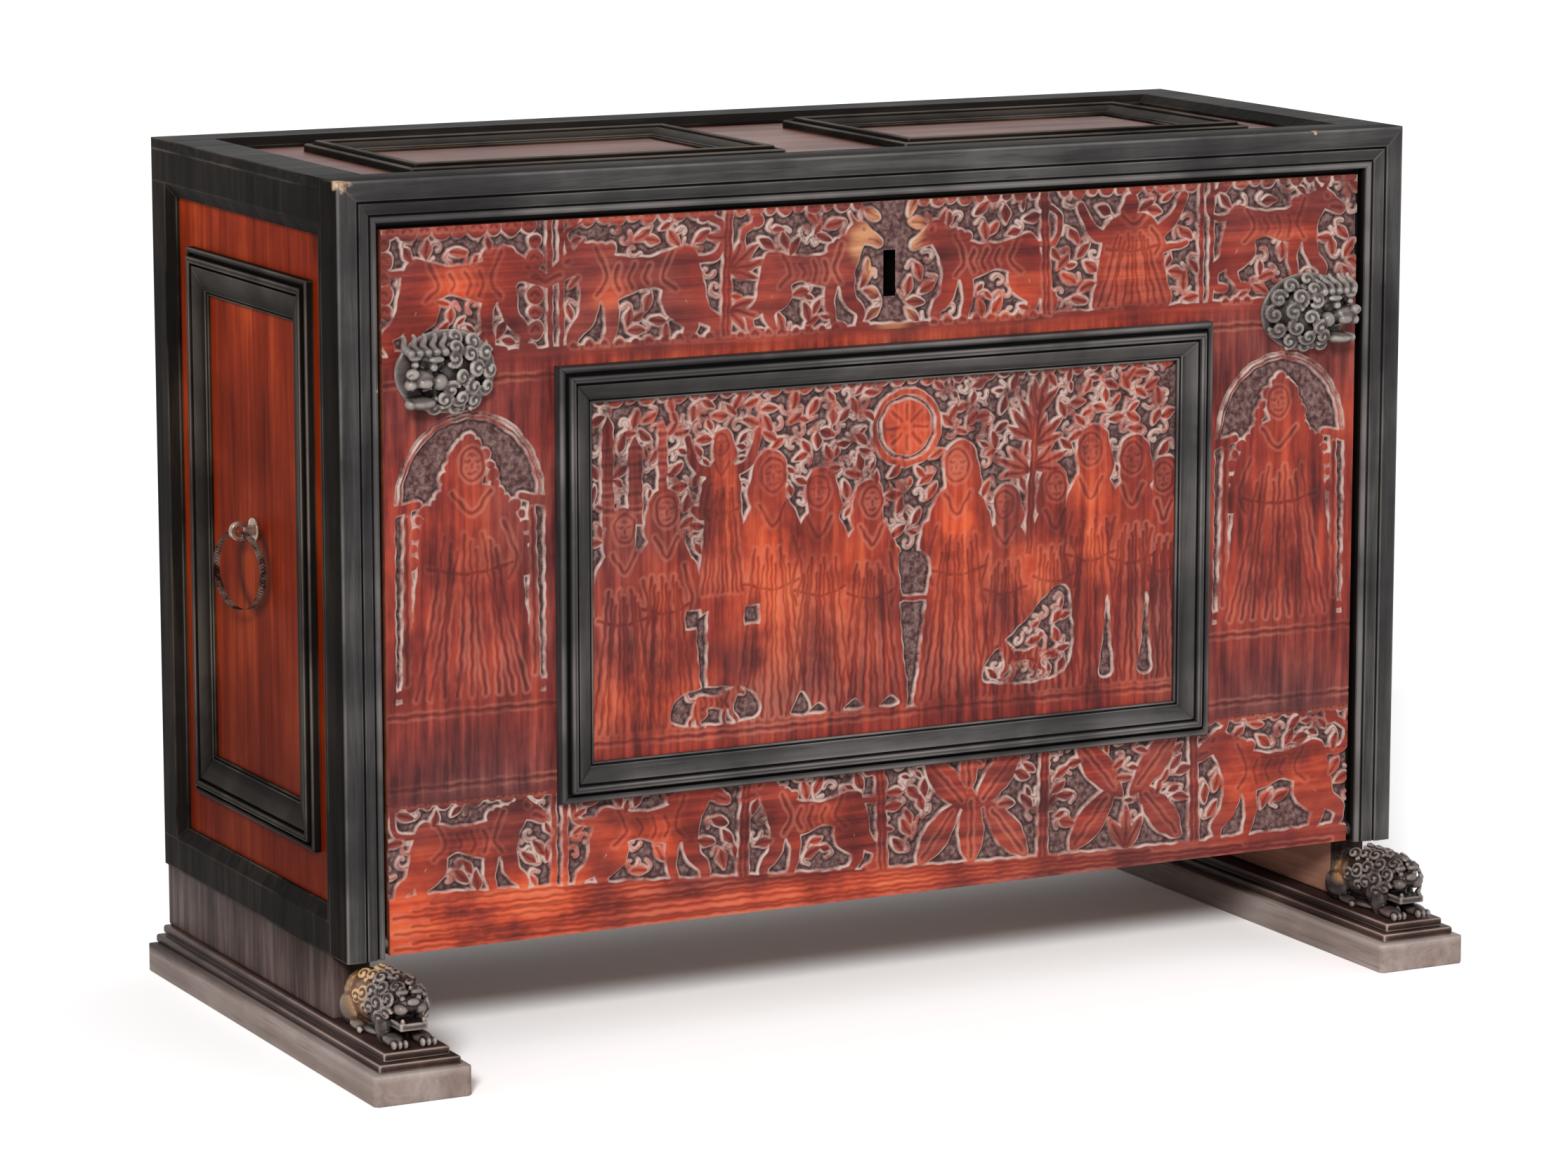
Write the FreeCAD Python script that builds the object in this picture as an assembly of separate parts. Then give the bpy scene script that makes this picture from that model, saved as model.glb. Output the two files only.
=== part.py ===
"""A table cabinet with a carved fall front, a nest of drawers and two runner feet.

Millimetres, +Z up, +X to the cabinet's right as seen from the front, front towards -Y.
The origin is on the ground under the middle of the whole object.
"""
import FreeCAD, Part
import math
import os

from FreeCAD import Placement, Rotation, Vector

# Carcass
carcass_width = 880.0
carcass_depth = 360.0
carcass_height = 557.0
carcass_floor = 83.0
board_thickness = 20.0
back_thickness = 12.0

# Front frame, ebonised: two stiles and a top rail
front_frame_width = 35.0
front_frame_depth = 32.0
front_crown_width = 18.0
front_quirk = 3.0
front_lip_drop = 6.0
front_arris = 3.0

# Ebonised frames laid on the sides and the top
skin_thickness = 8.0
side_border_top = 24.0
side_border_bottom = 24.0
side_border_back = 26.0
side_border_front = 4.0
top_border_ends = 36.0
top_border_back = 36.0
top_border_front = 8.0
bevel_width = 10.0
bevel_edge = 2.5

# Raised panel mouldings
moulding_height = 9.0
moulding_crown = 11.0
moulding_quirk = 2.0
moulding_lip = 3.0
moulding_arris = 2.0
side_moulding_width = 33.0
side_panel_depth = 232.0
side_panel_height = 413.0
side_panel_front_share = 0.43
top_moulding_width = 28.0
top_panel_width = 300.0
top_panel_depth = 200.0
top_panel_back_gap = 81.0
top_strip_width = 100.0

# Fall
fall_recess = 8.0
fall_thickness = 24.0
fall_gap = 1.0
fall_plank_count = 2
frieze_board_height = 94.0
keyhole_block_width = 32.0
keyhole_width = 9.6
keyhole_height = 34.0
keyhole_top_gap = 36.0
centre_moulding_height = 13.0
centre_moulding_width = 28.0
centre_panel_width = 544.0
centre_panel_height = 318.0
centre_panel_floor_gap = 98.0

# Fall pivots
pin_radius = 3.5
pin_length = 31.0
pin_hole_depth = 20.0
pin_inset = 7.0
pin_rise = 8.0
pin_clearance = 0.06
socket_wall = 2.5
socket_length = 12.0
sweep_clearance = 1.0

# Lion masks on the fall
mask_width = 90.0
mask_height = 70.0
mask_plate = 7.0
mask_dome = 22.0
mask_muzzle_radius = 13.0
mask_muzzle_reach = 27.0
mask_muzzle_shift = 12.0
mask_mouth_radius = 6.0
mask_mouth_depth = 12.0
mask_side_gap = 2.0
mask_middle_drop = 102.0

# Lock
lock_width = 100.0
lock_height = 86.0
lock_depth = 16.0
lock_plate = 1.5
lock_top_gap = 6.0
lock_ear_width = 14.0
lock_ear_height = 12.0
lock_ear_inset = 10.0
nail_radius = 1.5
nail_length = 12.0
nail_head_radius = 3.5
nail_head_height = 2.0
bolt_width = 24.0
bolt_thickness = 6.0
bolt_length = 33.0
bolt_tail_width = 50.0
bolt_tail_length = 25.0
bolt_top_gap = 0.5
bolt_clearance = 0.3
spring_thickness = 1.0
spring_rise = 30.0

# Nest of drawers
nest_board = 12.0
nest_set_back = 37.0
drawer_back_gap = 12.0
bottom_row_height = 110.0
side_row_height = 114.0
compartment_width = 256.0
drawer_front_thickness = 14.0
drawer_side_thickness = 8.0
drawer_bottom_thickness = 6.0
drawer_side_gap = 0.6
drawer_top_gap = 1.0
drawer_floor_gap = 0.3
knob_radius = 8.0
knob_stem_radius = 4.0
knob_reach = 17.0
wide_drawer_knob_spacing = 180.0
wide_drawer_knob_count = 2
small_drawer_knob_count = 1

# Iron rings and staples on the sides
ring_wire_radius = 3.0
ring_outer_diameter = 64.0
ring_twist = 14.0
ring_eye_height = 367.5
ring_forward_of_back = 175.0
ring_stand_off = 12.0
eye_play = 1.5
eye_wall = 2.5
eye_thickness = 5.0
rosette_radius = 9.0
rosette_thickness = 1.5
shank_height = 7.0

# Runner feet
runner_length = 442.0
runner_width = 75.0
runner_overhang = 15.0
runner_plate_thickness = 22.0
runner_plate_chamfer = 3.0
step_rise = 6.5
step_inset = 6.0
upright_thickness = 30.0
upright_set_back = 2.0

# Crouching lions
lion_width = 36.0
lion_back_height = 43.0
lion_chest_set_back = 32.0
lion_head_radius = 21.0
lion_head_set_back = 27.0
lion_rest_gap = 0.4
muzzle_width = 24.0
muzzle_height = 11.0
muzzle_reach = 4.0
mouth_gap = 3.0
jaw_height = 5.0
paw_width = 14.0
paw_height = 7.0
paw_set_back = 2.0

# Places that follow from the sizes
half_width = carcass_width / 2
back = runner_length / 2
front = back - carcass_depth
carcass_top = carcass_floor + carcass_height
frame_back = front + front_frame_depth
board_outer = half_width - skin_thickness
board_inner = board_outer - board_thickness
top_board_top = carcass_top - skin_thickness
top_board_floor = top_board_top - board_thickness
bottom_board_top = carcass_floor + board_thickness
opening_half = half_width - front_frame_width
opening_top = carcass_top - front_frame_width
fall_half = opening_half - fall_gap
fall_floor = carcass_floor + fall_gap
fall_top = opening_top - fall_gap
fall_face = front + fall_recess
fall_back = fall_face + fall_thickness
frieze_floor = fall_top - frieze_board_height
pin_y = fall_face + pin_inset
pin_z = fall_floor + pin_rise
sweep_radius = math.hypot(fall_thickness - pin_inset, pin_rise)
bottom_front = pin_y + sweep_radius + sweep_clearance
lowered_fall_face = pin_z - pin_inset
lock_top = fall_top - lock_top_gap
lock_floor = lock_top - lock_height
lock_back = fall_back + lock_depth
runner_outer = half_width + runner_overhang
runner_inner = runner_outer - runner_width
runner_middle = (runner_outer + runner_inner) / 2
upright_outer = half_width - upright_set_back
upright_inner = upright_outer - upright_thickness
step_top = runner_plate_thickness + 2 * step_rise

os.makedirs("parts", exist_ok=True)
saved = []


def save(name, solids):
    """Write one node, a group of separate solids."""
    shape = solids[0] if len(solids) == 1 else Part.makeCompound(solids)
    shape.exportStep("parts/" + name + ".step")
    saved.append((name, len(shape.Solids), shape.isValid()))


def block(x0, x1, y0, y1, z0, z1):
    """A square board between two corners."""
    return Part.makeBox(x1 - x0, y1 - y0, z1 - z0, Vector(x0, y0, z0))


def rod(radius, length, start, direction):
    """A round rod from a point along a direction."""
    return Part.makeCylinder(radius, length, start, direction)


def mirrored(x0, x1, side):
    """The two ends of a span of X on the left (-1) or the right (+1), in rising order."""
    ends = sorted((side * x0, side * x1))
    return ends[0], ends[1]


def moulding_profile(width, height, crown, quirk, lip, arris):
    """A section across +Y and up +Z: rounded arris, flat crown, quirk and slope to the lip."""
    corner = arris * (1 - math.sqrt(0.5))
    foot_outer = Vector(0, 0, 0)
    arris_start = Vector(0, 0, height - arris)
    arris_middle = Vector(0, corner, height - corner)
    arris_end = Vector(0, arris, height)
    crown_end = Vector(0, crown, height)
    slope_start = Vector(0, crown, height - quirk)
    lip_top = Vector(0, width, lip)
    foot_inner = Vector(0, width, 0)
    straight = [(arris_end, crown_end), (crown_end, slope_start), (slope_start, lip_top),
                (lip_top, foot_inner), (foot_inner, foot_outer)]
    edges = [Part.LineSegment(foot_outer, arris_start).toShape()]
    edges.append(Part.Arc(arris_start, arris_middle, arris_end).toShape())
    edges += [Part.LineSegment(a, b).toShape() for a, b in straight]
    return Part.Face(Part.Wire(edges))


def bevel_profile(width, height, edge):
    """A section that slopes from full height at its outer edge down to a thin inner edge."""
    points = [Vector(0, 0, 0), Vector(0, 0, height), Vector(0, width, edge), Vector(0, width, 0)]
    return Part.Face(Part.makePolygon(points + points[:1]))


def moulding_bar(profile, length, mitre_start, mitre_end):
    """A length of moulding along +X, with either end square or mitred."""
    width = profile.BoundBox.YMax
    height = profile.BoundBox.ZMax
    start = width if mitre_start else 0
    end = length - width if mitre_end else length
    corners = [Vector(0, 0, 0), Vector(length, 0, 0), Vector(end, width, 0), Vector(start, width, 0)]
    trim = Part.Face(Part.makePolygon(corners + corners[:1])).extrude(Vector(0, 0, height))
    return profile.extrude(Vector(length, 0, 0)).common(trim).Solids[0]


def turned(bar, across, up, quarter_turns):
    """Put a bar's start at a corner of its frame and turn it in the frame's plane."""
    bar.Placement = Placement(Vector(across, up, 0), Rotation(Vector(0, 0, 1), 90 * quarter_turns))
    return bar


def mitred_frame(profile, a0, a1, b0, b1):
    """Four mitred lengths round a rectangle, lying on the plane Z = 0."""
    return [
        turned(moulding_bar(profile, a1 - a0, True, True), a0, b0, 0),
        turned(moulding_bar(profile, b1 - b0, True, True), a1, b0, 1),
        turned(moulding_bar(profile, a1 - a0, True, True), a1, b1, 2),
        turned(moulding_bar(profile, b1 - b0, True, True), a0, b1, 3),
    ]


def lay_on(face, base, shapes):
    """Carry shapes from the plane Z = 0 to one face of the cabinet, at the height base along its normal."""
    axes = {
        "front": (Vector(1, 0, 0), Vector(0, 0, 1), Vector(0, -1, 0)),
        "left": (Vector(0, -1, 0), Vector(0, 0, 1), Vector(-1, 0, 0)),
        "right": (Vector(0, 1, 0), Vector(0, 0, 1), Vector(1, 0, 0)),
        "top": (Vector(1, 0, 0), Vector(0, 1, 0), Vector(0, 0, 1)),
    }
    across, up, normal = axes[face]
    carry = Placement(normal * base, Rotation(across, up, normal, "ZXY"))
    for shape in shapes:
        shape.Placement = carry.multiply(shape.Placement)
    return shapes


def side_frame(face, base, profile, y0, y1, z0, z1):
    """A mitred frame on the left or right side, between two depths and two heights."""
    if face == "left":
        return lay_on(face, base, mitred_frame(profile, -y1, -y0, z0, z1))
    return lay_on(face, base, mitred_frame(profile, y0, y1, z0, z1))


# Carcass boards
for name, side in (("left_side_board", -1), ("right_side_board", 1)):
    x0, x1 = mirrored(board_inner, board_outer, side)
    save(name, [block(x0, x1, frame_back, back - back_thickness, bottom_board_top, top_board_floor)])
save("top_board", [block(-board_outer, board_outer, frame_back, back, top_board_floor, top_board_top)])
save("bottom_board", [block(-board_outer, board_outer, bottom_front, back, carcass_floor, bottom_board_top)])
save("back_board", [block(-board_outer, board_outer, back - back_thickness, back,
                          bottom_board_top, top_board_floor)])

# Front stiles and top rail, with the sockets that carry the fall's pins
socket_radius = pin_radius + pin_clearance + socket_wall
front_profile = moulding_profile(front_frame_width, front_frame_depth, front_crown_width, front_quirk,
                                 front_frame_depth - front_lip_drop, front_arris)
top_rail = turned(moulding_bar(front_profile, carcass_width, True, True), half_width, carcass_top, 2)
left_stile = turned(moulding_bar(front_profile, carcass_height, True, False), -half_width, carcass_top, 3)
right_stile = turned(moulding_bar(front_profile, carcass_height, False, True), half_width, carcass_floor, 1)
lay_on("front", -frame_back, [top_rail, left_stile, right_stile])
save("top_rail", [top_rail])
sockets = []
for name, stile, side in (("left_stile", left_stile, -1), ("right_stile", right_stile, 1)):
    socket_start = Vector(side * opening_half, pin_y, pin_z)
    outward = Vector(side, 0, 0)
    save(name, [stile.cut(rod(socket_radius, socket_length, socket_start, outward)).Solids[0]])
    bore = rod(pin_radius + pin_clearance, socket_length, socket_start, outward)
    sockets.append(rod(socket_radius, socket_length, socket_start, outward).cut(bore))
save("pivot_sockets", sockets)

# Ebonised frames on the sides: flat borders, then a bevel down to the cedar ground
bevel = bevel_profile(bevel_width, skin_thickness, bevel_edge)
border_y0 = frame_back + side_border_front
border_y1 = back - side_border_back
border_z0 = carcass_floor + side_border_bottom
border_z1 = top_board_top - side_border_top
for name, face, side in (("left_side_frame", "left", -1), ("right_side_frame", "right", 1)):
    x0, x1 = mirrored(board_outer, half_width, side)
    borders = [
        block(x0, x1, frame_back, back, border_z1, top_board_top),
        block(x0, x1, frame_back, back, carcass_floor, border_z0),
        block(x0, x1, border_y1, back, border_z0, border_z1),
        block(x0, x1, frame_back, border_y0, border_z0, border_z1),
    ]
    save(name, borders + side_frame(face, board_outer, bevel, border_y0, border_y1, border_z0, border_z1))

# Raised panel mouldings on the sides, each in its field inside the bevels
side_profile = moulding_profile(side_moulding_width, moulding_height, moulding_crown, moulding_quirk,
                                moulding_lip, moulding_arris)
spare_depth = border_y1 - border_y0 - 2 * bevel_width - side_panel_depth
panel_y0 = border_y0 + bevel_width + side_panel_front_share * spare_depth
panel_y1 = panel_y0 + side_panel_depth
panel_z0 = (border_z0 + border_z1 - side_panel_height) / 2
panel_z1 = panel_z0 + side_panel_height
for name, face in (("left_panel_moulding", "left"), ("right_panel_moulding", "right")):
    save(name, side_frame(face, board_outer, side_profile, panel_y0, panel_y1, panel_z0, panel_z1))

# Ebonised frame on the top, and its two raised panels
top_x = half_width - top_border_ends
top_y0 = frame_back + top_border_front
top_y1 = back - top_border_back
top_borders = [
    block(-half_width, half_width, top_y1, back, top_board_top, carcass_top),
    block(-half_width, half_width, frame_back, top_y0, top_board_top, carcass_top),
    block(-half_width, -top_x, top_y0, top_y1, top_board_top, carcass_top),
    block(top_x, half_width, top_y0, top_y1, top_board_top, carcass_top),
]
top_bevels = lay_on("top", top_board_top, mitred_frame(bevel, -top_x, top_x, top_y0, top_y1))
save("top_frame", top_borders + top_bevels)
top_profile = moulding_profile(top_moulding_width, moulding_height, moulding_crown, moulding_quirk,
                               moulding_lip, moulding_arris)
top_panel_y1 = back - top_panel_back_gap
top_panel_y0 = top_panel_y1 - top_panel_depth
top_panels = []
for side in (-1, 1):
    x0, x1 = mirrored(top_strip_width / 2, top_strip_width / 2 + top_panel_width, side)
    top_panels += mitred_frame(top_profile, x0, x1, top_panel_y0, top_panel_y1)
save("top_panel_mouldings", lay_on("top", top_board_top, top_panels))

# Fall: planks below, two frieze boards above with the keyhole block between them
plank_height = (frieze_floor - fall_floor) / fall_plank_count
planks = []
for i in range(fall_plank_count):
    z0 = fall_floor + i * plank_height
    planks.append(block(-fall_half, fall_half, fall_face, fall_back, z0, z0 + plank_height))
pins = []
for side in (-1, 1):
    pin_start = Vector(side * (fall_half - pin_hole_depth), pin_y, pin_z)
    pin = rod(pin_radius, pin_length, pin_start, Vector(side, 0, 0))
    planks[0] = planks[0].cut(pin).Solids[0]
    pins.append(pin)
save("fall_panel", planks)
save("pivot_pins", pins)

block_half = keyhole_block_width / 2
nail_x = lock_width / 2 + lock_ear_width / 2
nail_heights = (lock_floor + lock_ear_inset, lock_top - lock_ear_inset)
ears = []
nails = []
frieze_boards = []
for side in (-1, 1):
    x0, x1 = mirrored(block_half, fall_half, side)
    frieze_board = block(x0, x1, fall_face, fall_back, frieze_floor, fall_top)
    for nail_z in nail_heights:
        seat = Vector(side * nail_x, fall_back + lock_plate, nail_z)
        shank = rod(nail_radius, nail_length, seat, Vector(0, -1, 0))
        head = rod(nail_head_radius, nail_head_height, seat, Vector(0, 1, 0))
        x2, x3 = mirrored(lock_width / 2, lock_width / 2 + lock_ear_width, side)
        ear = block(x2, x3, fall_back, fall_back + lock_plate,
                    nail_z - lock_ear_height / 2, nail_z + lock_ear_height / 2)
        ears.append(ear.cut(shank))
        nails.append(head.fuse(shank).removeSplitter())
        frieze_board = frieze_board.cut(shank)
    frieze_boards.append(frieze_board.Solids[0])
save("frieze_boards", frieze_boards)
save("lock_nails", nails)

keyhole_top = fall_top - keyhole_top_gap
keyhole = block(-keyhole_width / 2, keyhole_width / 2, fall_face, fall_back,
                keyhole_top - keyhole_height, keyhole_top)
keyhole_block = block(-block_half, block_half, fall_face, fall_back, frieze_floor, fall_top)
save("keyhole_block", [keyhole_block.cut(keyhole)])

# Raised moulding round the fall's middle scene
centre_profile = moulding_profile(centre_moulding_width, centre_moulding_height, moulding_crown,
                                  moulding_quirk, moulding_lip, moulding_arris)
centre_z0 = fall_floor + centre_panel_floor_gap
centre_frame = mitred_frame(centre_profile, -centre_panel_width / 2, centre_panel_width / 2,
                            centre_z0, centre_z0 + centre_panel_height)
save("centre_moulding", lay_on("front", -fall_face, centre_frame))


def lion_mask(side):
    """An oval plate with a domed face, and a muzzle towards the stile with a deep mouth."""
    middle_x = side * (fall_half - mask_side_gap - mask_width / 2)
    middle = Vector(middle_x, fall_face, fall_top - mask_middle_drop)
    oval = Part.Ellipse(Vector(0, 0, 0), mask_width / 2, mask_height / 2).toShape()
    plate = Part.Face(Part.Wire([oval])).extrude(Vector(0, 0, mask_plate))
    lay_on("front", 0, [plate])
    plate.translate(middle)
    dome_radius = mask_height / 2 - mask_plate
    dome_centre = middle + Vector(0, dome_radius - mask_dome, 0)
    dome = Part.makeSphere(dome_radius, dome_centre)
    muzzle_start = middle + Vector(side * mask_muzzle_shift, 0, -mask_mouth_radius)
    forward = Vector(0, -1, 0)
    muzzle = rod(mask_muzzle_radius, mask_muzzle_reach, muzzle_start, forward)
    mouth_start = muzzle_start + forward * (mask_muzzle_reach - mask_mouth_depth)
    mouth = rod(mask_mouth_radius, mask_mouth_depth, mouth_start, forward)
    ahead = block(middle.x - mask_width, middle.x + mask_width, fall_face - mask_width, fall_face,
                  middle.z - mask_height, middle.z + mask_height)
    return plate.fuse([dome.common(ahead), muzzle]).cut(mouth).removeSplitter().Solids[0]


save("left_lion_mask", [lion_mask(-1)])
save("right_lion_mask", [lion_mask(1)])

# Lock on the back of the fall: case of iron plates, cover, bolt and its spring
case_half = lock_width / 2
bolt_slot = bolt_width / 2 + bolt_clearance
cover_front = lock_back - lock_plate
case = [
    block(-case_half, -case_half + lock_plate, fall_back, cover_front, lock_floor, lock_top),
    block(case_half - lock_plate, case_half, fall_back, cover_front, lock_floor, lock_top),
    block(-case_half + lock_plate, case_half - lock_plate, fall_back, cover_front,
          lock_floor, lock_floor + lock_plate),
    block(-case_half + lock_plate, -bolt_slot, fall_back, cover_front, lock_top - lock_plate, lock_top),
    block(bolt_slot, case_half - lock_plate, fall_back, cover_front, lock_top - lock_plate, lock_top),
]
save("lock_case", case + ears)
save("lock_cover", [block(-case_half, case_half, cover_front, lock_back, lock_floor, lock_top)])
bolt_y0 = fall_back + bolt_clearance
bolt_y1 = bolt_y0 + bolt_thickness
bolt_top = fall_top - bolt_top_gap
tail_top = bolt_top - bolt_length
tail_half = bolt_tail_width / 2
bolt_head = block(-bolt_width / 2, bolt_width / 2, bolt_y0, bolt_y1, tail_top, bolt_top)
bolt_tail = block(-tail_half, tail_half, bolt_y0, bolt_y1, tail_top - bolt_tail_length, tail_top)
save("lock_bolt", [bolt_head.fuse(bolt_tail).removeSplitter()])
spring_foot = -case_half + lock_plate
spring_tip = -tail_half - bolt_clearance - spring_thickness
spring_z0 = tail_top - bolt_tail_length / 2 - spring_rise
spring_z1 = spring_z0 + spring_rise
spring_points = [
    Vector(spring_foot, bolt_y0, spring_z0),
    Vector(spring_foot + spring_thickness, bolt_y0, spring_z0),
    Vector(spring_tip + spring_thickness, bolt_y0, spring_z1),
    Vector(spring_tip, bolt_y0, spring_z1),
]
spring = Part.Face(Part.makePolygon(spring_points + spring_points[:1])).extrude(Vector(0, bolt_thickness, 0))
save("lock_spring", [spring])

# Nest of drawers behind the fall: case, shelves and partitions
nest_front = fall_back + nest_set_back
nest_back = back - back_thickness
nest_half = board_inner - nest_board
nest_floor = bottom_board_top + nest_board
nest_top = top_board_floor - nest_board
lower_shelf = nest_floor + bottom_row_height
middle_floor = lower_shelf + nest_board
middle_top = middle_floor + 2 * side_row_height + nest_board
top_row_floor = middle_top + nest_board
post_inner = compartment_width / 2
post_outer = post_inner + nest_board
half_shelf = middle_floor + side_row_height


def nest_piece(x0, x1, z0, z1):
    """A board of the nest, as deep as the nest."""
    return block(x0, x1, nest_front, nest_back, z0, z1)


save("nest_case", [
    nest_piece(-board_inner, board_inner, bottom_board_top, nest_floor),
    nest_piece(-board_inner, board_inner, nest_top, top_board_floor),
    nest_piece(-board_inner, -nest_half, nest_floor, nest_top),
    nest_piece(nest_half, board_inner, nest_floor, nest_top),
])
save("nest_shelves", [
    nest_piece(-nest_half, nest_half, lower_shelf, middle_floor),
    nest_piece(-nest_half, nest_half, middle_top, top_row_floor),
    nest_piece(-nest_half, -post_outer, half_shelf, half_shelf + nest_board),
    nest_piece(post_outer, nest_half, half_shelf, half_shelf + nest_board),
])
save("nest_partitions", [
    nest_piece(-nest_board / 2, nest_board / 2, nest_floor, lower_shelf),
    nest_piece(-post_outer, -post_inner, middle_floor, middle_top),
    nest_piece(post_inner, post_outer, middle_floor, middle_top),
    nest_piece(-post_outer, -post_inner, top_row_floor, nest_top),
    nest_piece(post_inner, post_outer, top_row_floor, nest_top),
])

# Drawers: each bay is left, right, floor and top, with its number of knobs
bays = {
    "bottom_left": (-nest_half, -nest_board / 2, nest_floor, lower_shelf, wide_drawer_knob_count),
    "bottom_right": (nest_board / 2, nest_half, nest_floor, lower_shelf, wide_drawer_knob_count),
    "lower_left": (-nest_half, -post_outer, middle_floor, half_shelf, small_drawer_knob_count),
    "lower_right": (post_outer, nest_half, middle_floor, half_shelf, small_drawer_knob_count),
    "upper_left": (-nest_half, -post_outer, half_shelf + nest_board, middle_top, small_drawer_knob_count),
    "upper_right": (post_outer, nest_half, half_shelf + nest_board, middle_top, small_drawer_knob_count),
    "top_left": (-nest_half, -post_outer, top_row_floor, nest_top, small_drawer_knob_count),
    "top_middle": (-post_inner, post_inner, top_row_floor, nest_top, small_drawer_knob_count),
    "top_right": (post_outer, nest_half, top_row_floor, nest_top, small_drawer_knob_count),
}


def drawer_boards(x0, x1, z0, z1):
    """Front, two sides, back and bottom of one drawer."""
    y0 = nest_front
    y1 = nest_back - drawer_back_gap
    y2 = y0 + drawer_front_thickness
    y3 = y1 - drawer_side_thickness
    x2 = x0 + drawer_side_thickness
    x3 = x1 - drawer_side_thickness
    z2 = z0 + drawer_bottom_thickness
    return [
        block(x0, x1, y0, y2, z0, z1),
        block(x0, x2, y2, y1, z0, z1),
        block(x3, x1, y2, y1, z0, z1),
        block(x2, x3, y3, y1, z0, z1),
        block(x2, x3, y2, y3, z0, z2),
    ]


def knob(x, z):
    """A turned knob on a short stem."""
    forward = Vector(0, -1, 0)
    stem = rod(knob_stem_radius, knob_reach - knob_radius, Vector(x, nest_front, z), forward)
    ball = Part.makeSphere(knob_radius, Vector(x, nest_front - knob_reach + knob_radius, z))
    return ball.fuse(stem).removeSplitter().Solids[0]


for name, (left, right, floor, top, knob_count) in bays.items():
    x0 = left + drawer_side_gap
    x1 = right - drawer_side_gap
    z0 = floor + drawer_floor_gap
    z1 = top - drawer_top_gap
    save(name + "_drawer", drawer_boards(x0, x1, z0, z1))
    middle_x = (x0 + x1) / 2
    middle_z = (z0 + z1) / 2
    first_knob = middle_x - wide_drawer_knob_spacing * (knob_count - 1) / 2
    knob_places = [first_knob + i * wide_drawer_knob_spacing for i in range(knob_count)]
    save(name + "_knob", [knob(x, middle_z) for x in knob_places])

# Iron rings hanging from staples on the sides
ring_radius = ring_outer_diameter / 2 - ring_wire_radius
eye_hole = ring_wire_radius + eye_play
ring_y = back - ring_forward_of_back
along_depth = Vector(0, 1, 0)
for name, side in (("left", -1), ("right", 1)):
    outward = Vector(side, 0, 0)
    seat = Vector(side * board_outer, ring_y, ring_eye_height)
    eye = seat + outward * ring_stand_off
    eye_start = eye - along_depth * (eye_thickness / 2)
    hole = rod(eye_hole, eye_thickness, eye_start, along_depth)
    loop = rod(eye_hole + eye_wall, eye_thickness, eye_start, along_depth)
    x0, x1 = mirrored(board_outer, board_outer + ring_stand_off, side)
    shank = block(x0, x1, ring_y - eye_thickness / 2, ring_y + eye_thickness / 2,
                  ring_eye_height - shank_height / 2, ring_eye_height + shank_height / 2)
    rosette = rod(rosette_radius, rosette_thickness, seat, outward)
    staple = loop.fuse([shank, rosette]).cut(hole).removeSplitter()
    save(name + "_ring_staple", [staple.Solids[0]])
    ring_axis = Rotation(Vector(0, 0, 1), -side * ring_twist).multVec(Vector(1, 0, 0))
    ring = Part.makeTorus(ring_radius, ring_wire_radius, eye - Vector(0, 0, ring_radius), ring_axis)
    save(name + "_ring", [ring])


def crouching_lion(side):
    """Back, head with muzzle and jaw, and two paws, carved from one block on the runner's step."""
    middle = side * runner_middle
    lion_front = -runner_length / 2 + 2 * step_inset + paw_set_back
    head_top = lowered_fall_face - lion_rest_gap
    head = Vector(middle, lion_front + lion_head_set_back, head_top - lion_head_radius)
    half = lion_width / 2
    chest = lion_front + lion_chest_set_back
    ridge = step_top + lion_back_height
    shoulder = ridge - half
    flanks = [Vector(middle - half, chest, shoulder), Vector(middle - half, chest, step_top),
              Vector(middle + half, chest, step_top), Vector(middle + half, chest, shoulder)]
    edges = list(Part.makePolygon(flanks).Edges)
    edges.append(Part.Arc(flanks[3], Vector(middle, chest, ridge), flanks[0]).toShape())
    lion = Part.Face(Part.Wire(edges)).extrude(Vector(0, bottom_front - chest, 0))
    nose_front = head.y - lion_head_radius - muzzle_reach
    x0 = middle - muzzle_width / 2
    x1 = middle + muzzle_width / 2
    nose_floor = head.z - muzzle_height / 2
    jaw_top = nose_floor - mouth_gap
    limbs = [
        Part.makeSphere(lion_head_radius, head),
        block(x0, x1, nose_front, head.y, nose_floor, nose_floor + muzzle_height),
        block(x0, x1, nose_front, head.y, jaw_top - jaw_height, jaw_top),
    ]
    for paw_side in (-1, 1):
        x2, x3 = mirrored(half - paw_width, half, paw_side)
        limbs.append(block(middle + x2, middle + x3, lion_front, chest, step_top, step_top + paw_height))
    return lion.fuse(limbs).removeSplitter().Solids[0]


def runner_plate(side):
    """The flat sledge plate, with its front corners taken off."""
    x0, x1 = mirrored(runner_inner, runner_outer, side)
    y0 = -runner_length / 2
    c = runner_plate_chamfer
    points = [Vector(x0 + c, y0, 0), Vector(x1 - c, y0, 0), Vector(x1, y0 + c, 0), Vector(x1, back, 0),
              Vector(x0, back, 0), Vector(x0, y0 + c, 0)]
    return Part.Face(Part.makePolygon(points + points[:1])).extrude(Vector(0, 0, runner_plate_thickness))


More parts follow.
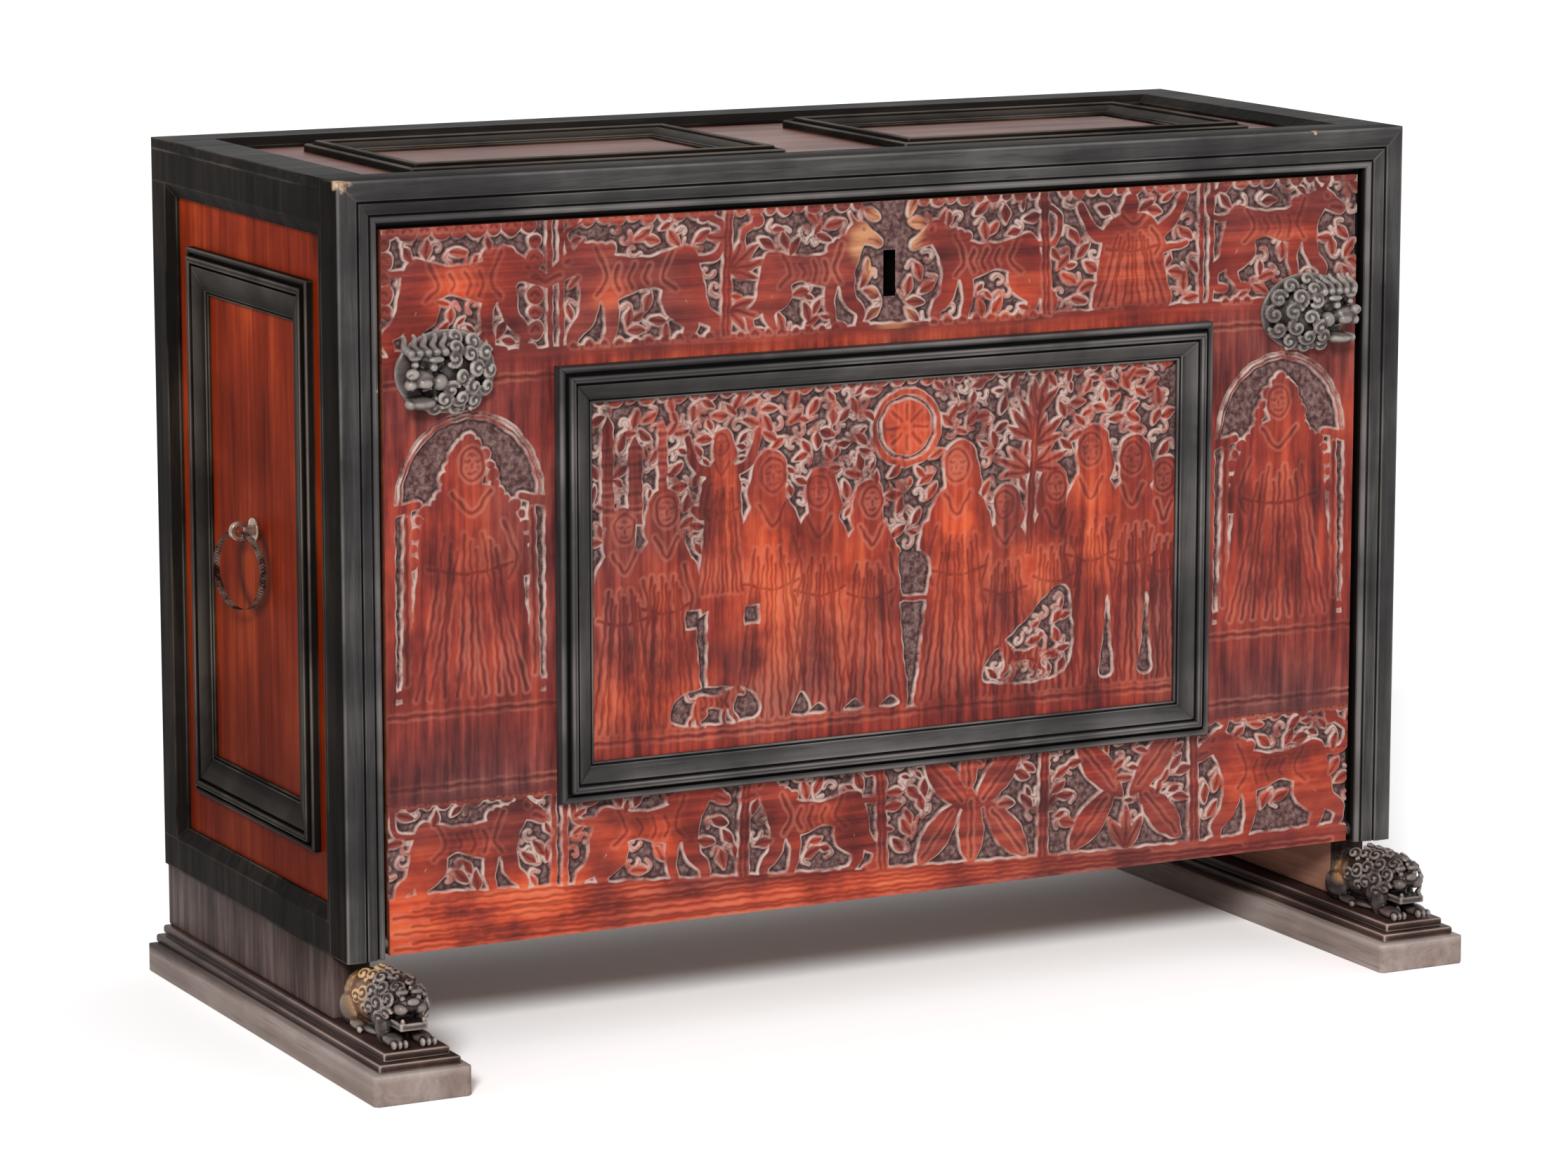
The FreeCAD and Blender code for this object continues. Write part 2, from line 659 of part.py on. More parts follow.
# Runner feet, each with its plate, two steps, an upright and a lion
for name, side in (("left", -1), ("right", 1)):
    save(name + "_runner_plate", [runner_plate(side)])
    steps = []
    for i in (1, 2):
        inset = i * step_inset
        x0, x1 = mirrored(runner_inner + inset, runner_outer - inset, side)
        z0 = runner_plate_thickness + (i - 1) * step_rise
        steps.append(block(x0, x1, -runner_length / 2 + inset, back, z0, z0 + step_rise))
    save(name + "_runner_steps", steps)
    x0, x1 = mirrored(upright_inner, upright_outer, side)
    save(name + "_runner_upright", [block(x0, x1, bottom_front, back, step_top, carcass_floor)])
    save(name + "_lion", [crouching_lion(side)])

for name, count, valid in saved:
    print(name, count, "valid" if valid else "NOT VALID")
print("nodes", len(saved), "pin at", round(pin_y, 3), round(pin_z, 3))
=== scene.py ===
import math
import bmesh
import bpy
import numpy as np
from mathutils import Matrix, Vector


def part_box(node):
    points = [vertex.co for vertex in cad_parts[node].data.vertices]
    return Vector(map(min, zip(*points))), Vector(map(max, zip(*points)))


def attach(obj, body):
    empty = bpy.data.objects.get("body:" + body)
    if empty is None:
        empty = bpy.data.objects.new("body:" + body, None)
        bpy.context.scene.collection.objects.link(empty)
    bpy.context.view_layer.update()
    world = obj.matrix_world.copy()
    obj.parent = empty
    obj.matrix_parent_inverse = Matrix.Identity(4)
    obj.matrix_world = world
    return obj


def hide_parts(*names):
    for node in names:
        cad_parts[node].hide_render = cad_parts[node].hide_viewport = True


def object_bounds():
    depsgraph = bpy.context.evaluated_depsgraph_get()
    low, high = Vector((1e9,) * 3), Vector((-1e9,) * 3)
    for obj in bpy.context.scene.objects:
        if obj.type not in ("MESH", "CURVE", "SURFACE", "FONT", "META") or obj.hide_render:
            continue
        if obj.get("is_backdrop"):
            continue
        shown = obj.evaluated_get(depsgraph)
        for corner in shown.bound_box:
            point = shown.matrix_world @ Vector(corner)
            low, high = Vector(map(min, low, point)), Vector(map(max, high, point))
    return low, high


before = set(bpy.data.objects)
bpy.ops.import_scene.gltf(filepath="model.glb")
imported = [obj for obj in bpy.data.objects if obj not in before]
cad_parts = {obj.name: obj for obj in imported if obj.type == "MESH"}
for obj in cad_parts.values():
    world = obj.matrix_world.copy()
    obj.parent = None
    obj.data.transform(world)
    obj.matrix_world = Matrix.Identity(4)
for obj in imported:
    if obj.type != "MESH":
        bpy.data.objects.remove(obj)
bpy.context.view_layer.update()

scene = bpy.context.scene
scene.view_settings.view_transform = "Standard"

# The studio: a plain pale floor, a key lamp over the lens and a weak fill from the right.
# The surround and the floor show white to the lens and in reflections.
# The floor keeps the cabinet's shadow.


def wire(tree, kind, sockets=None, **settings):
    """Add one shader node, set its options, and fill or link its sockets."""
    made = tree.nodes.new("ShaderNode" + kind)
    for key, value in settings.items():
        setattr(made, key, value)
    for key, value in (sockets or {}).items():
        if isinstance(value, bpy.types.NodeSocket):
            tree.links.new(value, made.inputs[key])
        else:
            made.inputs[key].default_value = value
    return made


def reckon(tree, operation, first, second=0.0, third=0.0):
    """One sum on numbers or links."""
    return wire(tree, "Math", {0: first, 1: second, 2: third}, operation=operation).outputs[0]


def spread(tree, value, low, high, to_low=0.0, to_high=1.0):
    """Stretch part of a value's range over another range."""
    ends = {"From Min": low, "From Max": high, "To Min": to_low, "To Max": to_high}
    return wire(tree, "MapRange", {"Value": value, **ends}).outputs[0]


def bare_tree(name):
    """A new material with nothing in it yet, and its nodes."""
    finish = bpy.data.materials.new(name)
    finish.use_nodes = True
    finish.node_tree.nodes.clear()
    return finish, finish.node_tree


def seen_white(tree):
    """One for a ray that shows the surround itself: from the lens, a mirror or glass."""
    path = wire(tree, "LightPath").outputs
    shown = reckon(tree, "MAXIMUM", path["Is Camera Ray"], path["Is Glossy Ray"])
    return reckon(tree, "MAXIMUM", shown, path["Is Transmission Ray"])


def mesh_of(name, bm):
    """A mesh of a finished bmesh, which is then let go."""
    mesh = bpy.data.meshes.new(name)
    bm.to_mesh(mesh)
    bm.free()
    return mesh


def put(name, data):
    """A new object in the scene that holds a mesh, a lamp or a camera."""
    made = bpy.data.objects.new(name, data)
    scene.collection.objects.link(made)
    return made


floor_reach = 30
floor_lit = 0.9
floor_shown = 1.45
bm = bmesh.new()
bmesh.ops.create_grid(bm, x_segments=1, y_segments=1, size=floor_reach)
floor = put("studio_floor", mesh_of("studio_floor", bm))
floor_paint, tree = bare_tree("studio_floor")
paleness = spread(tree, seen_white(tree), 0.0, 1.0, floor_lit, floor_shown)
matt = wire(tree, "BsdfDiffuse", {"Color": paleness})
wire(tree, "OutputMaterial", {"Surface": matt.outputs[0]})
floor.data.materials.append(floor_paint)
floor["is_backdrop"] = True

surround_light = 0.4
surround_shown = 1.0
world = bpy.data.worlds.new("studio_surround")
world.use_nodes = True
scene.world = world
tree = world.node_tree
tree.nodes.clear()
level = spread(tree, seen_white(tree), 0.0, 1.0, surround_light, surround_shown)
surround = wire(tree, "Background", {"Color": (1, 1, 1, 1), "Strength": level})
wire(tree, "OutputWorld", {"Surface": surround.outputs[0]})

key_lamp = ("key", (-0.42, -0.66, 0.43), 2.5, 12)
fill_lamp = ("fill", (0.6, -0.7, 0.35), 0.3, 50)
for name, towards, strength, softness in (key_lamp, fill_lamp):
    lamp_data = bpy.data.lights.new(name, "SUN")
    lamp_data.energy = strength
    lamp_data.angle = math.radians(softness)
    lamp = put(name, lamp_data)
    lamp.rotation_euler = Vector(towards).to_track_quat("Z", "Y").to_euler()

camera_place = (-1.914, -3.684, 1.0472)
camera_aim = (0.4499, 0.8754, -0.1767)
lens = bpy.data.cameras.new("lens")
lens.sensor_fit = "HORIZONTAL"
lens.sensor_width = 36
lens.lens = 127.4
camera = put("camera", lens)
camera.location = camera_place
camera.rotation_euler = Vector(camera_aim).to_track_quat("-Z", "Y").to_euler()
scene.camera = camera

# Runner plates: the two sledges that the cabinet stands on, of brown wood with clipped front corners.
# Scuffed pale all over, with the upper front edge rubbed and given a painted highlight, and a painted
# shadow along the sides under the steps.


def stain(red, green, blue):
    """A colour picked on a screen, as the linear value that shaders take."""
    parts = [v / 255 for v in (red, green, blue)]
    return tuple(v / 12.92 if v < 0.04045 else ((v + 0.055) / 1.055) ** 2.4 for v in parts) + (1.0,)


def blend(tree, share, first, second):
    """Mix two colours, each a value or a link."""
    return wire(tree, "Mix", {0: share, 6: first, 7: second}, data_type="RGBA").outputs[2]


def ramp(tree, share, stops):
    """A run of stains along a 0 to 1 value."""
    band = wire(tree, "ValToRGB", {0: share})
    points = band.color_ramp.elements
    while len(points) < len(stops):
        points.new(0.5)
    for point, (place, shade) in zip(points, stops):
        point.position = place
        point.color = stain(*shade)
    return band.outputs[0]


def noise(tree, place, scale, detail, roughness=0.55, distortion=0.0):
    """Soft noise over a place; three scales stretch it along an axis."""
    if not isinstance(scale, (int, float)):
        place = wire(tree, "Mapping", {"Vector": place, "Scale": scale}).outputs[0]
        scale = 1.0
    look = {"Scale": scale, "Detail": detail, "Roughness": roughness, "Distortion": distortion}
    return wire(tree, "TexNoise", {"Vector": place, **look}).outputs[0]


def lengthwise(grain, along, across):
    """The scales of a pattern that is drawn out along the grain's axis."""
    return [along if axis == grain else across for axis in "XYZ"]


def attribute(tree, title):
    """A number that the mesh keeps at each of its points."""
    return wire(tree, "Attribute", attribute_name=title).outputs["Fac"]


def away_from(tree, place, spot):
    """How far each place is from one spot, in metres."""
    return wire(tree, "VectorMath", {0: place, 1: spot}, operation="DISTANCE").outputs["Value"]


def edge_wear(tree, radius, patches):
    """How much a corner is rubbed, pale as wear and a painted highlight, how much painted shade from
    ambient occlusion lies in a quirk, and the normal with its corners eased.
    """
    eased = wire(tree, "Bevel", {"Radius": radius}, samples=6).outputs[0]
    flat = wire(tree, "NewGeometry").outputs["Normal"]
    match = wire(tree, "VectorMath", {0: eased, 1: flat}, operation="DOT_PRODUCT").outputs["Value"]
    corner = spread(tree, match, 0.985, 0.87)
    around = wire(tree, "AmbientOcclusion", {"Distance": 4 * radius}, samples=6, only_local=True)
    free = around.outputs["AO"]
    rub_and_highlight = reckon(tree, "MULTIPLY", corner, spread(tree, free, 0.72, 0.95))
    rub_and_highlight = reckon(tree, "MULTIPLY", rub_and_highlight, spread(tree, patches, 0.4, 0.62))
    quirk_shade = spread(tree, free, 0.82, 0.4)
    return rub_and_highlight, quirk_shade, eased


def rub_crests(tree, colour, cloud, crests):
    """Painted shade in carved hollows and quirks, rubbed heights that also carry a painted highlight, and
    golden wood where hands have been.
    """
    hollow_shadow_colour, height_rub_and_highlight = [stain(*shade) for shade in crests]
    crest = attribute(tree, "crest")
    # Below zero a crest is painted shade; above it, wear and a painted highlight.
    colour = blend(tree, spread(tree, crest, 0.0, -0.45, 0.0, 0.9), colour, hollow_shadow_colour)
    patches = spread(tree, cloud, 0.4, 0.58, 0.3, 0.95)
    rubbing = reckon(tree, "MULTIPLY", spread(tree, crest, 0.1, 0.7), patches)
    colour = blend(tree, rubbing, colour, height_rub_and_highlight)
    gold = ramp(tree, crest, [(0.0, (104, 68, 46)), (0.35, (206, 168, 122))])
    return blend(tree, attribute(tree, "rubbed"), colour, gold)


def knock_chips(tree, colour, place, figure, chips):
    """Ragged chips down to bare wood, each a place and its reach."""
    bare_wood = [(0.4, (158, 122, 94)), (0.6, (222, 198, 168))]
    for *spot, reach in chips:
        away = away_from(tree, place, spot)
        ragged = reckon(tree, "MULTIPLY_ADD", noise(tree, place, 1.2 / reach, 4.0), 1.6 * reach, away)
        share = spread(tree, ragged, 1.5 * reach, 1.2 * reach)
        colour = blend(tree, share, colour, ramp(tree, figure, bare_wood))
    return colour


def smear_ring_grime_and_shadow(tree, colour, place, cloud, rings):
    """A dark band round each hanging ring, given by its middle and radius: grime where it rubs and the
    ring's painted shadow.
    """
    for *middle, radius in rings:
        beside = reckon(tree, "SUBTRACT", away_from(tree, place, middle), radius)
        smear = reckon(tree, "MULTIPLY_ADD", cloud, 0.008, reckon(tree, "ABSOLUTE", beside))
        colour = blend(tree, spread(tree, smear, 0.013, 0.004, 0.0, 0.85), colour, stain(26, 9, 4))
    return colour


def close_surface(tree, colour, rough, bumps, constants):
    """End a material with its colour, roughness and relief, and with what is the same all over."""
    relief = wire(tree, "Bump", bumps).outputs[0]
    sockets = {"Base Color": colour, "Roughness": rough, "Normal": relief, **constants}
    skin = wire(tree, "BsdfPrincipled", sockets)
    wire(tree, "OutputMaterial", {"Surface": skin.outputs[0]})


def wood_finish(name, grain, shades, worn, gloss, fine=1.0, wear=0.7, relief=0.35, radius=0.003, shine=0.2,
                crests=(), chips=(), grime_and_shadow=(), darken_by_height=()):
    """Stained wood: long grain along one axis, pores, soft blotches, rubbed corners that are also painted
    highlights, and painted shade in the quirks.
    Shades go from dark to pale, worn is the colour of a rubbed corner and of its painted highlight, and
    gloss the least and most roughness.
    Crests are the colours of painted shade in carved hollows and quirks and of rubbed heights, paled also
    as a painted highlight; chips are places knocked down to bare wood.
    The ring pairs give the middle and radius of each ring that hangs against the wood; a dark band round it
    stands for grime and the ring's painted shadow.
    The height pair darkens the wood between a height where it keeps its colour and one where it is darkest."""
    finish, tree = bare_tree(name)
    place = wire(tree, "TexCoord").outputs["Object"]
    darkest = stain(*shades[0])
    figure = noise(tree, place, lengthwise(grain, 3.2 * fine, 55 * fine), 7.0, 0.62, 0.7)
    pores = noise(tree, place, lengthwise(grain, 14 * fine, 420 * fine), 2.0)
    cloud = noise(tree, place, 9.0, 4.0)
    tone = reckon(tree, "MULTIPLY_ADD", figure, 0.55, reckon(tree, "MULTIPLY", cloud, 0.45))
    colour = ramp(tree, tone, list(zip((0.32, 0.5, 0.68), shades)))
    if darken_by_height:
        height = wire(tree, "SeparateXYZ", {0: place}).outputs["Z"]
        colour = blend(tree, spread(tree, height, *darken_by_height, 0.0, 0.7), colour, darkest)
    pore_depth = spread(tree, pores, 0.6, 0.72, 0.0, 0.5)
    colour = blend(tree, pore_depth, colour, darkest)
    rub_and_highlight, quirk_shade, eased = edge_wear(tree, radius, cloud)
    # Quirks and hollows are darkened by ambient occlusion: painted shade.
    quirk_shade_colour = [0.3 * part for part in darkest[:3]] + [1]
    colour = blend(tree, reckon(tree, "MULTIPLY", quirk_shade, 0.8), colour, quirk_shade_colour)
    # Rubbed corners are paled: wear, and also painted highlights along the arrises.
    colour = blend(tree, reckon(tree, "MULTIPLY", rub_and_highlight, wear), colour, stain(*worn))
    if crests:
        colour = rub_crests(tree, colour, cloud, crests)
    colour = knock_chips(tree, colour, place, figure, chips)
    colour = smear_ring_grime_and_shadow(tree, colour, place, cloud, grime_and_shadow)
    rough = spread(tree, tone, 0.3, 0.7, gloss[1], gloss[0])
    rise = reckon(tree, "MULTIPLY_ADD", pore_depth, -0.8, figure)
    bumps = {"Height": rise, "Strength": relief, "Distance": 0.0008, "Normal": eased}
    close_surface(tree, colour, rough, bumps, {"Specular IOR Level": shine})
    return finish


def set_in(name, bm, body, finishes, nodes=(), crease=35):
    """Make a piece of a finished bmesh, in its place, that rides a body and stands for its CAD nodes."""
    mesh = mesh_of(name, bm)
    mesh.shade_smooth()
    mesh.set_sharp_from_angle(angle=math.radians(crease))
    for finish in finishes:
        mesh.materials.append(finish)
    piece = put(name, mesh)
    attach(piece, body)
    if nodes:
        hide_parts(*nodes)


def parts_of(made, kind):
    """The vertices, edges or faces among what an operator made."""
    return [part for part in made if isinstance(part, kind)]


def soften(bm, width, segments=3):
    """Round every sharp edge."""
    least_turn = 0.4
    sharp = [e for e in bm.edges if len(e.link_faces) == 2 and e.calc_face_angle() > least_turn]
    bmesh.ops.bevel(bm, geom=sharp, offset=width, offset_type="OFFSET", affect="EDGES", segments=segments,
                    profile=0.5, material=-1, clamp_overlap=True)


plate_shades = ((104, 88, 82), (142, 126, 119), (172, 158, 152))
plate_wood = wood_finish("plate_wood", "Y", plate_shades, (206, 196, 190), (0.45, 0.65), wear=0.9,
                         shine=0.08, crests=((34, 22, 20), (190, 178, 172)))
plate_clip = 0.003
plate_round = 0.0012
plate_band = 0.007
plate_front = 0.02
front_rub_and_highlight = 0.35
side_shadow = -0.45
for side in ("left", "right"):
    low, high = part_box(side + "_runner_plate")
    bm = bmesh.new()
    outline = [(low.x + plate_clip, low.y), (high.x - plate_clip, low.y), (high.x, low.y + plate_clip),
               (high.x, high.y), (low.x, high.y), (low.x, low.y + plate_clip)]
    sole = bm.faces.new([bm.verts.new((x, y, low.z)) for x, y in outline])
    raised = bmesh.ops.extrude_face_region(bm, geom=[sole])["geom"]
    bmesh.ops.translate(bm, vec=(0, 0, high.z - low.z), verts=parts_of(raised, bmesh.types.BMVert))
    bmesh.ops.recalc_face_normals(bm, faces=bm.faces)
    soften(bm, plate_round)
    whole = bm.verts[:] + bm.edges[:] + bm.faces[:]
    bmesh.ops.bisect_plane(bm, geom=whole, plane_co=(0, 0, high.z - plate_band), plane_no=(0, 0, 1))
    # The top band of each side gets painted shadow under the steps; the front gets rubbing and a painted
    # highlight.
    crest = bm.verts.layers.float.new("crest")
    for v in bm.verts:
        if v.co.z > high.z - plate_band / 2:
            v[crest] = front_rub_and_highlight if v.co.y < low.y + plate_front else side_shadow
    set_in(side + "_sledge_plate", bm, "carcass", [plate_wood], [side + "_runner_plate"])

# Runner steps: two moulded fillets that lead from each plate up to its lion and its upright.
# Brown wood under dark wax, planed with rounded edges and pegged to the plate; the front edges are rubbed
# and paled as a painted highlight.


def add_board(bm, low, high):
    """A square board between two corners, in metres."""
    low, high = Vector(low), Vector(high)
    size = high - low
    place = Matrix.Translation((low + high) / 2) @ Matrix.Diagonal((size.x, size.y, size.z, 1))
    bmesh.ops.create_cube(bm, size=1, matrix=place)


def rub_and_highlight_rounds(bm, amount, front):
    """Mark the rounded edges before a depth as rubbed and paled as a painted highlight: their points face
    between two axes.
    """
    between_axes = 0.29
    bm.normal_update()
    crest = bm.verts.layers.float.new("crest")
    for v in bm.verts:
        if v.co.y < front:
            v[crest] = amount * (1 - max(abs(part) for part in v.normal)) / between_axes


runner_shades = ((26, 16, 14), (50, 34, 30), (84, 62, 55))
runner_wood = wood_finish("runner_wood", "Y", runner_shades, (190, 170, 158), (0.3, 0.48), wear=1.0,
                          radius=0.004, shine=0.1, crests=((14, 9, 8), (176, 154, 144)))
step_inset = 0.006
step_round = 0.0021
step_rub_and_highlight = 0.75
step_front = 0.03
for side in ("left", "right"):
    low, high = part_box(side + "_runner_steps")
    tread = low.z + (high.z - low.z) / 2
    bm = bmesh.new()
    add_board(bm, low, (high.x, high.y, tread))
    add_board(bm, (low.x + step_inset, low.y + step_inset, tread), (high.x - step_inset, high.y, high.z))
    soften(bm, step_round, 4)
    rub_and_highlight_rounds(bm, step_rub_and_highlight, low.y + step_front)
    set_in(side + "_moulded_steps", bm, "carcass", [runner_wood], [side + "_runner_steps"])

# Runner uprights: a short board on edge that lifts each side of the carcass off its runner.
# Waxed dark outside, with the grain upright and paler towards the foot; the inner face takes a much paler
# wood, a painted light on a face that lies in shade.
wall_shades = ((28, 20, 18), (76, 61, 57), (118, 99, 93))
wall_wood = wood_finish("wall_wood", "Z", wall_shades, (150, 128, 116), (0.4, 0.6), fine=2.0, wear=0.9,
                        shine=0.04, darken_by_height=(0.05, 0.09))
lit_inner_shades = ((116, 78, 62), (156, 112, 94), (188, 144, 124))
lit_inner_wood = wood_finish("lit_inner_wood", "Y", lit_inner_shades, (200, 164, 146), (0.6, 0.8), wear=0.3, shine=0.04)
wall_round = 0.0015
for side, outward in (("left", -1), ("right", 1)):
    low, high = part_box(side + "_runner_upright")
    bm = bmesh.new()
    add_board(bm, low, high)
    soften(bm, wall_round)
    # Inner faces take the paler copy: painted light where the carcass shades them.
    for f in bm.faces:
        f.material_index = 1 if f.normal.x * outward < -0.9 else 0
    set_in(side + "_runner_wall", bm, "carcass", [wall_wood, lit_inner_wood],
           [side + "_runner_upright"])

# Crouching lions: one block of dark wood carved in the round on each runner's steps, under a front corner.
# Each has a curled mane, a broad muzzle over a slab of lower jaw, and paws with claws.
# The crests are paled as wear and a painted highlight, the hollows darkened with painted shade, and hands
# have worn the left one's back to golden wood.


def lump(bm, centre, radii, detail=3):
    """A rounded mass, in millimetres, to be merged with its neighbours."""
    place = Matrix.Translation(Vector(centre) / 1000)
    place @= Matrix.Diagonal((radii[0] / 1000, radii[1] / 1000, radii[2] / 1000, 1))
    bmesh.ops.create_icosphere(bm, subdivisions=detail, radius=1, matrix=place)


def lumps(bm, masses, middle, hand=1, height=0):
    """A set of masses, each a place and three radii, handed about a middle and set at a height."""
    for x, y, z, *radii in masses:
        lump(bm, (middle + hand * x, y, height + z), radii)


def curl(bm, centre, facing, size, start=0.0):
    """A lock of the mane wound into a coil that rises to its middle, facing out of the block."""
    beads = 20
    whole_turn = 450
    facing = Vector(facing).normalized()
    centre = Vector(centre)
    knot = bmesh.new()
    for i in range(beads):
        t = i / (beads - 1)
        angle = math.radians(start + whole_turn * t)
        spoke = Matrix.Rotation(angle, 3, facing) @ facing.orthogonal().normalized()
        place = centre + size * ((1 - 0.85 * t) * spoke + 0.4 * t * facing)
        lump(knot, place, [size * (0.34 - 0.06 * t)] * 3, detail=2)
    coil = mesh_of("coil", knot)
    bm.from_mesh(coil)
    bpy.data.meshes.remove(coil)


def smooth_skin(skin, rounds):
    """Ease a skin, a little more with each round."""
    for _ in range(rounds):
        bmesh.ops.smooth_vert(skin, verts=skin.verts, factor=0.5,
                              use_axis_x=True, use_axis_y=True, use_axis_z=True)


def carved_mass(name, bm, voxel):
    """Merge overlapping masses into one skin, and keep how far each point stands out of a softer skin."""
    rough_mesh = mesh_of(name, bm)
    rough = put(name, rough_mesh)
    merge = rough.modifiers.new("merge", "REMESH")
    merge.mode = "VOXEL"
    merge.voxel_size = voxel
    merged = bpy.data.meshes.new_from_object(rough.evaluated_get(bpy.context.evaluated_depsgraph_get()))
    bpy.data.objects.remove(rough)
    bpy.data.meshes.remove(rough_mesh)
    skin = bmesh.new()
    skin.from_mesh(merged)
    bpy.data.meshes.remove(merged)
    smooth_skin(skin, 1)
    softer = skin.copy()
    smooth_skin(softer, 20)
    skin.normal_update()
    crest = skin.verts.layers.float.new("crest")
    for point, below in zip(skin.verts, softer.verts):
        point[crest] = 1000 * (point.co - below.co).dot(point.normal)
    softer.free()
    return skin


def rub_spot(skin, centre, reach):
    """Mark where hands have rubbed a carving down to golden wood."""
    rubbed = skin.verts.layers.float.new("rubbed")
    for point in skin.verts:
        away = (1000 * point.co - Vector(centre)).length / reach
        point[rubbed] = max(0.0, min(1.0, 2.2 * (1 - away)))


def held(value, low, high):
    """A value kept within two limits."""
    return min(max(value, low), high)


lion_shades = ((22, 16, 15), (46, 35, 33), (74, 58, 53))
# Lion crests: dark hollows are painted shade, pale heights are wear and a painted highlight.
lion_wood = wood_finish("lion_wood", "Y", lion_shades, (150, 126, 108), (0.2, 0.34), fine=1.4, wear=0.3,
                        relief=0.2, radius=0.002, shine=0.3, crests=((8, 6, 6), (188, 172, 164)))
lion_voxel = 0.0007
lion_foot, lion_top = 0.0351, 0.0844
# Rump, barrel, chest, two low masses of the belly, head, muzzle, nose and throat: places and radii.
lion_trunk = ((0, -119, 55, 17, 15, 20), (0, -142, 57, 16, 32, 20), (0, -168, 53, 17, 15, 18),
              (0, -116, 40, 17, 12, 6), (0, -145, 38, 16, 32, 5), (0, -180, 66, 14, 15, 15),
              (0, -194, 65, 10.5, 8, 6.5), (0, -203, 68, 4.6, 2.8, 2.8), (0, -184, 50, 8, 10, 8))
# Haunch, hind paw, shoulder, fore paw, cheek, brow, eye and fang, each on both hands.
lion_limbs = ((14, -121, 47, 6, 15, 12), (14, -138, 38.5, 5.5, 12, 4), (12, -178, 46, 6, 8, 13),
              (11, -192, 39.5, 6.4, 13, 4.6), (7, -197, 62.5, 5.4, 6, 4.6), (5.5, -196, 74, 4.8, 3.4, 2.6),
              (6, -198, 70, 2.3, 2.2, 2.2), (8, -202.5, 54, 1.6, 1.8, 2.6))
jaw_place = Vector((0, -193.5, 50.5))
jaw_half = Vector((0.0105, 0.0115, 0.0026))
toe_spread = (-4.4, 0, 4.4)
# The middle toe of a fore paw and of a hind paw: places and radii.
middle_toes = ((11, -203.4, 38.4, 2, 3.4, 3.3), (14, -149, 37.6, 2, 3, 2.6))
mane_height = 62.6
mane_start, mane_sweep = -32, 244
# Each ring of the mane: its depth, how far out it lies, and the count and size of its curls.
mane_rings = ((-191, 15.6, 7, 5), (-179, 17.2, 7, 5.8), (-166, 17, 7, 5.8), (-153, 16.6, 6, 5.6),
              (-140, 16, 5, 5.4))
# Where hands have worn each lion, and how far round.
golden_spots = (("left", (-14, -136, 68), 30), ("right", (-18, -128, 60), 12))
for side, gold_place, gold_reach in golden_spots:
    low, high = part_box(side + "_lion")
    middle = 1000 * (low.x + high.x) / 2
    across = Vector((middle, 0, 0))
    bm = bmesh.new()
    lumps(bm, lion_trunk, middle)
    jaw = (across + jaw_place) / 1000
    add_board(bm, jaw - jaw_half, jaw + jaw_half)
    for hand in (-1, 1):
        lumps(bm, lion_limbs, middle, hand)
        for toe in toe_spread:
            for x, y, z, *radii in middle_toes:
                lump(bm, (middle + hand * x + toe, y, z), radii, detail=2)
    for hand in (-1, 1):
        curl(bm, (middle + hand * 6, -196, 75), (0, -1, 0.5), 3.6, 90 + 90 * hand)
    for ring, (y, reach, count, size) in enumerate(mane_rings):
        for i in range(count):
            angle = math.radians(mane_start + mane_sweep * (i + 0.5 * (ring % 2)) / (count - 0.5))
            out = Vector((math.cos(angle), -0.35, math.sin(angle)))
            place = (middle + reach * math.cos(angle), y, mane_height + reach * math.sin(angle))
            curl(bm, place, out, size, 70 * i)
    skin = carved_mass(side + "_lion_carving", bm, lion_voxel)
    for v in skin.verts:
        v.co.x = held(v.co.x, low.x, high.x)
        v.co.z = held(v.co.z, lion_foot, lion_top)
    rub_spot(skin, across + Vector(gold_place), gold_reach)
    set_in(side + "_lion_carving", skin, "carcass", [lion_wood], [side + "_lion"], crease=180)

# Carcass boards: sides and top in oiled cedar, with the bottom and back in plainer darker boards.
# They are nailed and pegged at the corners; the sides and top show only inside their ebonised frames.


def paint_nodes(finish, *names):
    """Give CAD nodes their finish."""
    for name in names:
        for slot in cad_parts[name].material_slots:
            slot.material = finish


side_face = 0.432
ring_depth, eye_height, ring_round = 0.046, 0.3675, 0.029
ring_grime_and_shadow = [(face, ring_depth, eye_height - ring_round, ring_round) for face in (-side_face, side_face)]
cedar_shades = ((72, 18, 5), (142, 44, 13), (206, 82, 27))
# The side boards darken towards the bottom: painted shade.
side_cedar = wood_finish("side_cedar", "Z", cedar_shades, (196, 104, 60), (0.34, 0.52), wear=0.3,
                         shine=0.012, grime_and_shadow=ring_grime_and_shadow, darken_by_height=(0.6, 0.2))
paint_nodes(side_cedar, "left_side_board", "right_side_board")
top_shades = ((64, 35, 27), (98, 53, 41), (126, 76, 58))
top_cedar = wood_finish("top_cedar", "X", top_shades, (150, 104, 84), (0.36, 0.52), wear=0.3, shine=0.3)
paint_nodes(top_cedar, "top_board")
carcass_shades = ((66, 42, 34), (104, 70, 52), (138, 98, 72))
carcass_wood = wood_finish("carcass_wood", "X", carcass_shades, (160, 124, 96), (0.55, 0.75), wear=0.4)
paint_nodes(carcass_wood, "bottom_board", "back_board")

# Front stiles and top rail: broad lengths with deep quirks beside a crown, mitred at the top corners.
# Pear or lime stained black and planed to a section, glued and pinned to the front of the carcass.
# Edges have rubbed to grey-brown, the polish has a cool sheen painted in as a paler copy of the black on
# the front faces, the side faces take a darker copy as painted shade, and a few corners are chipped.


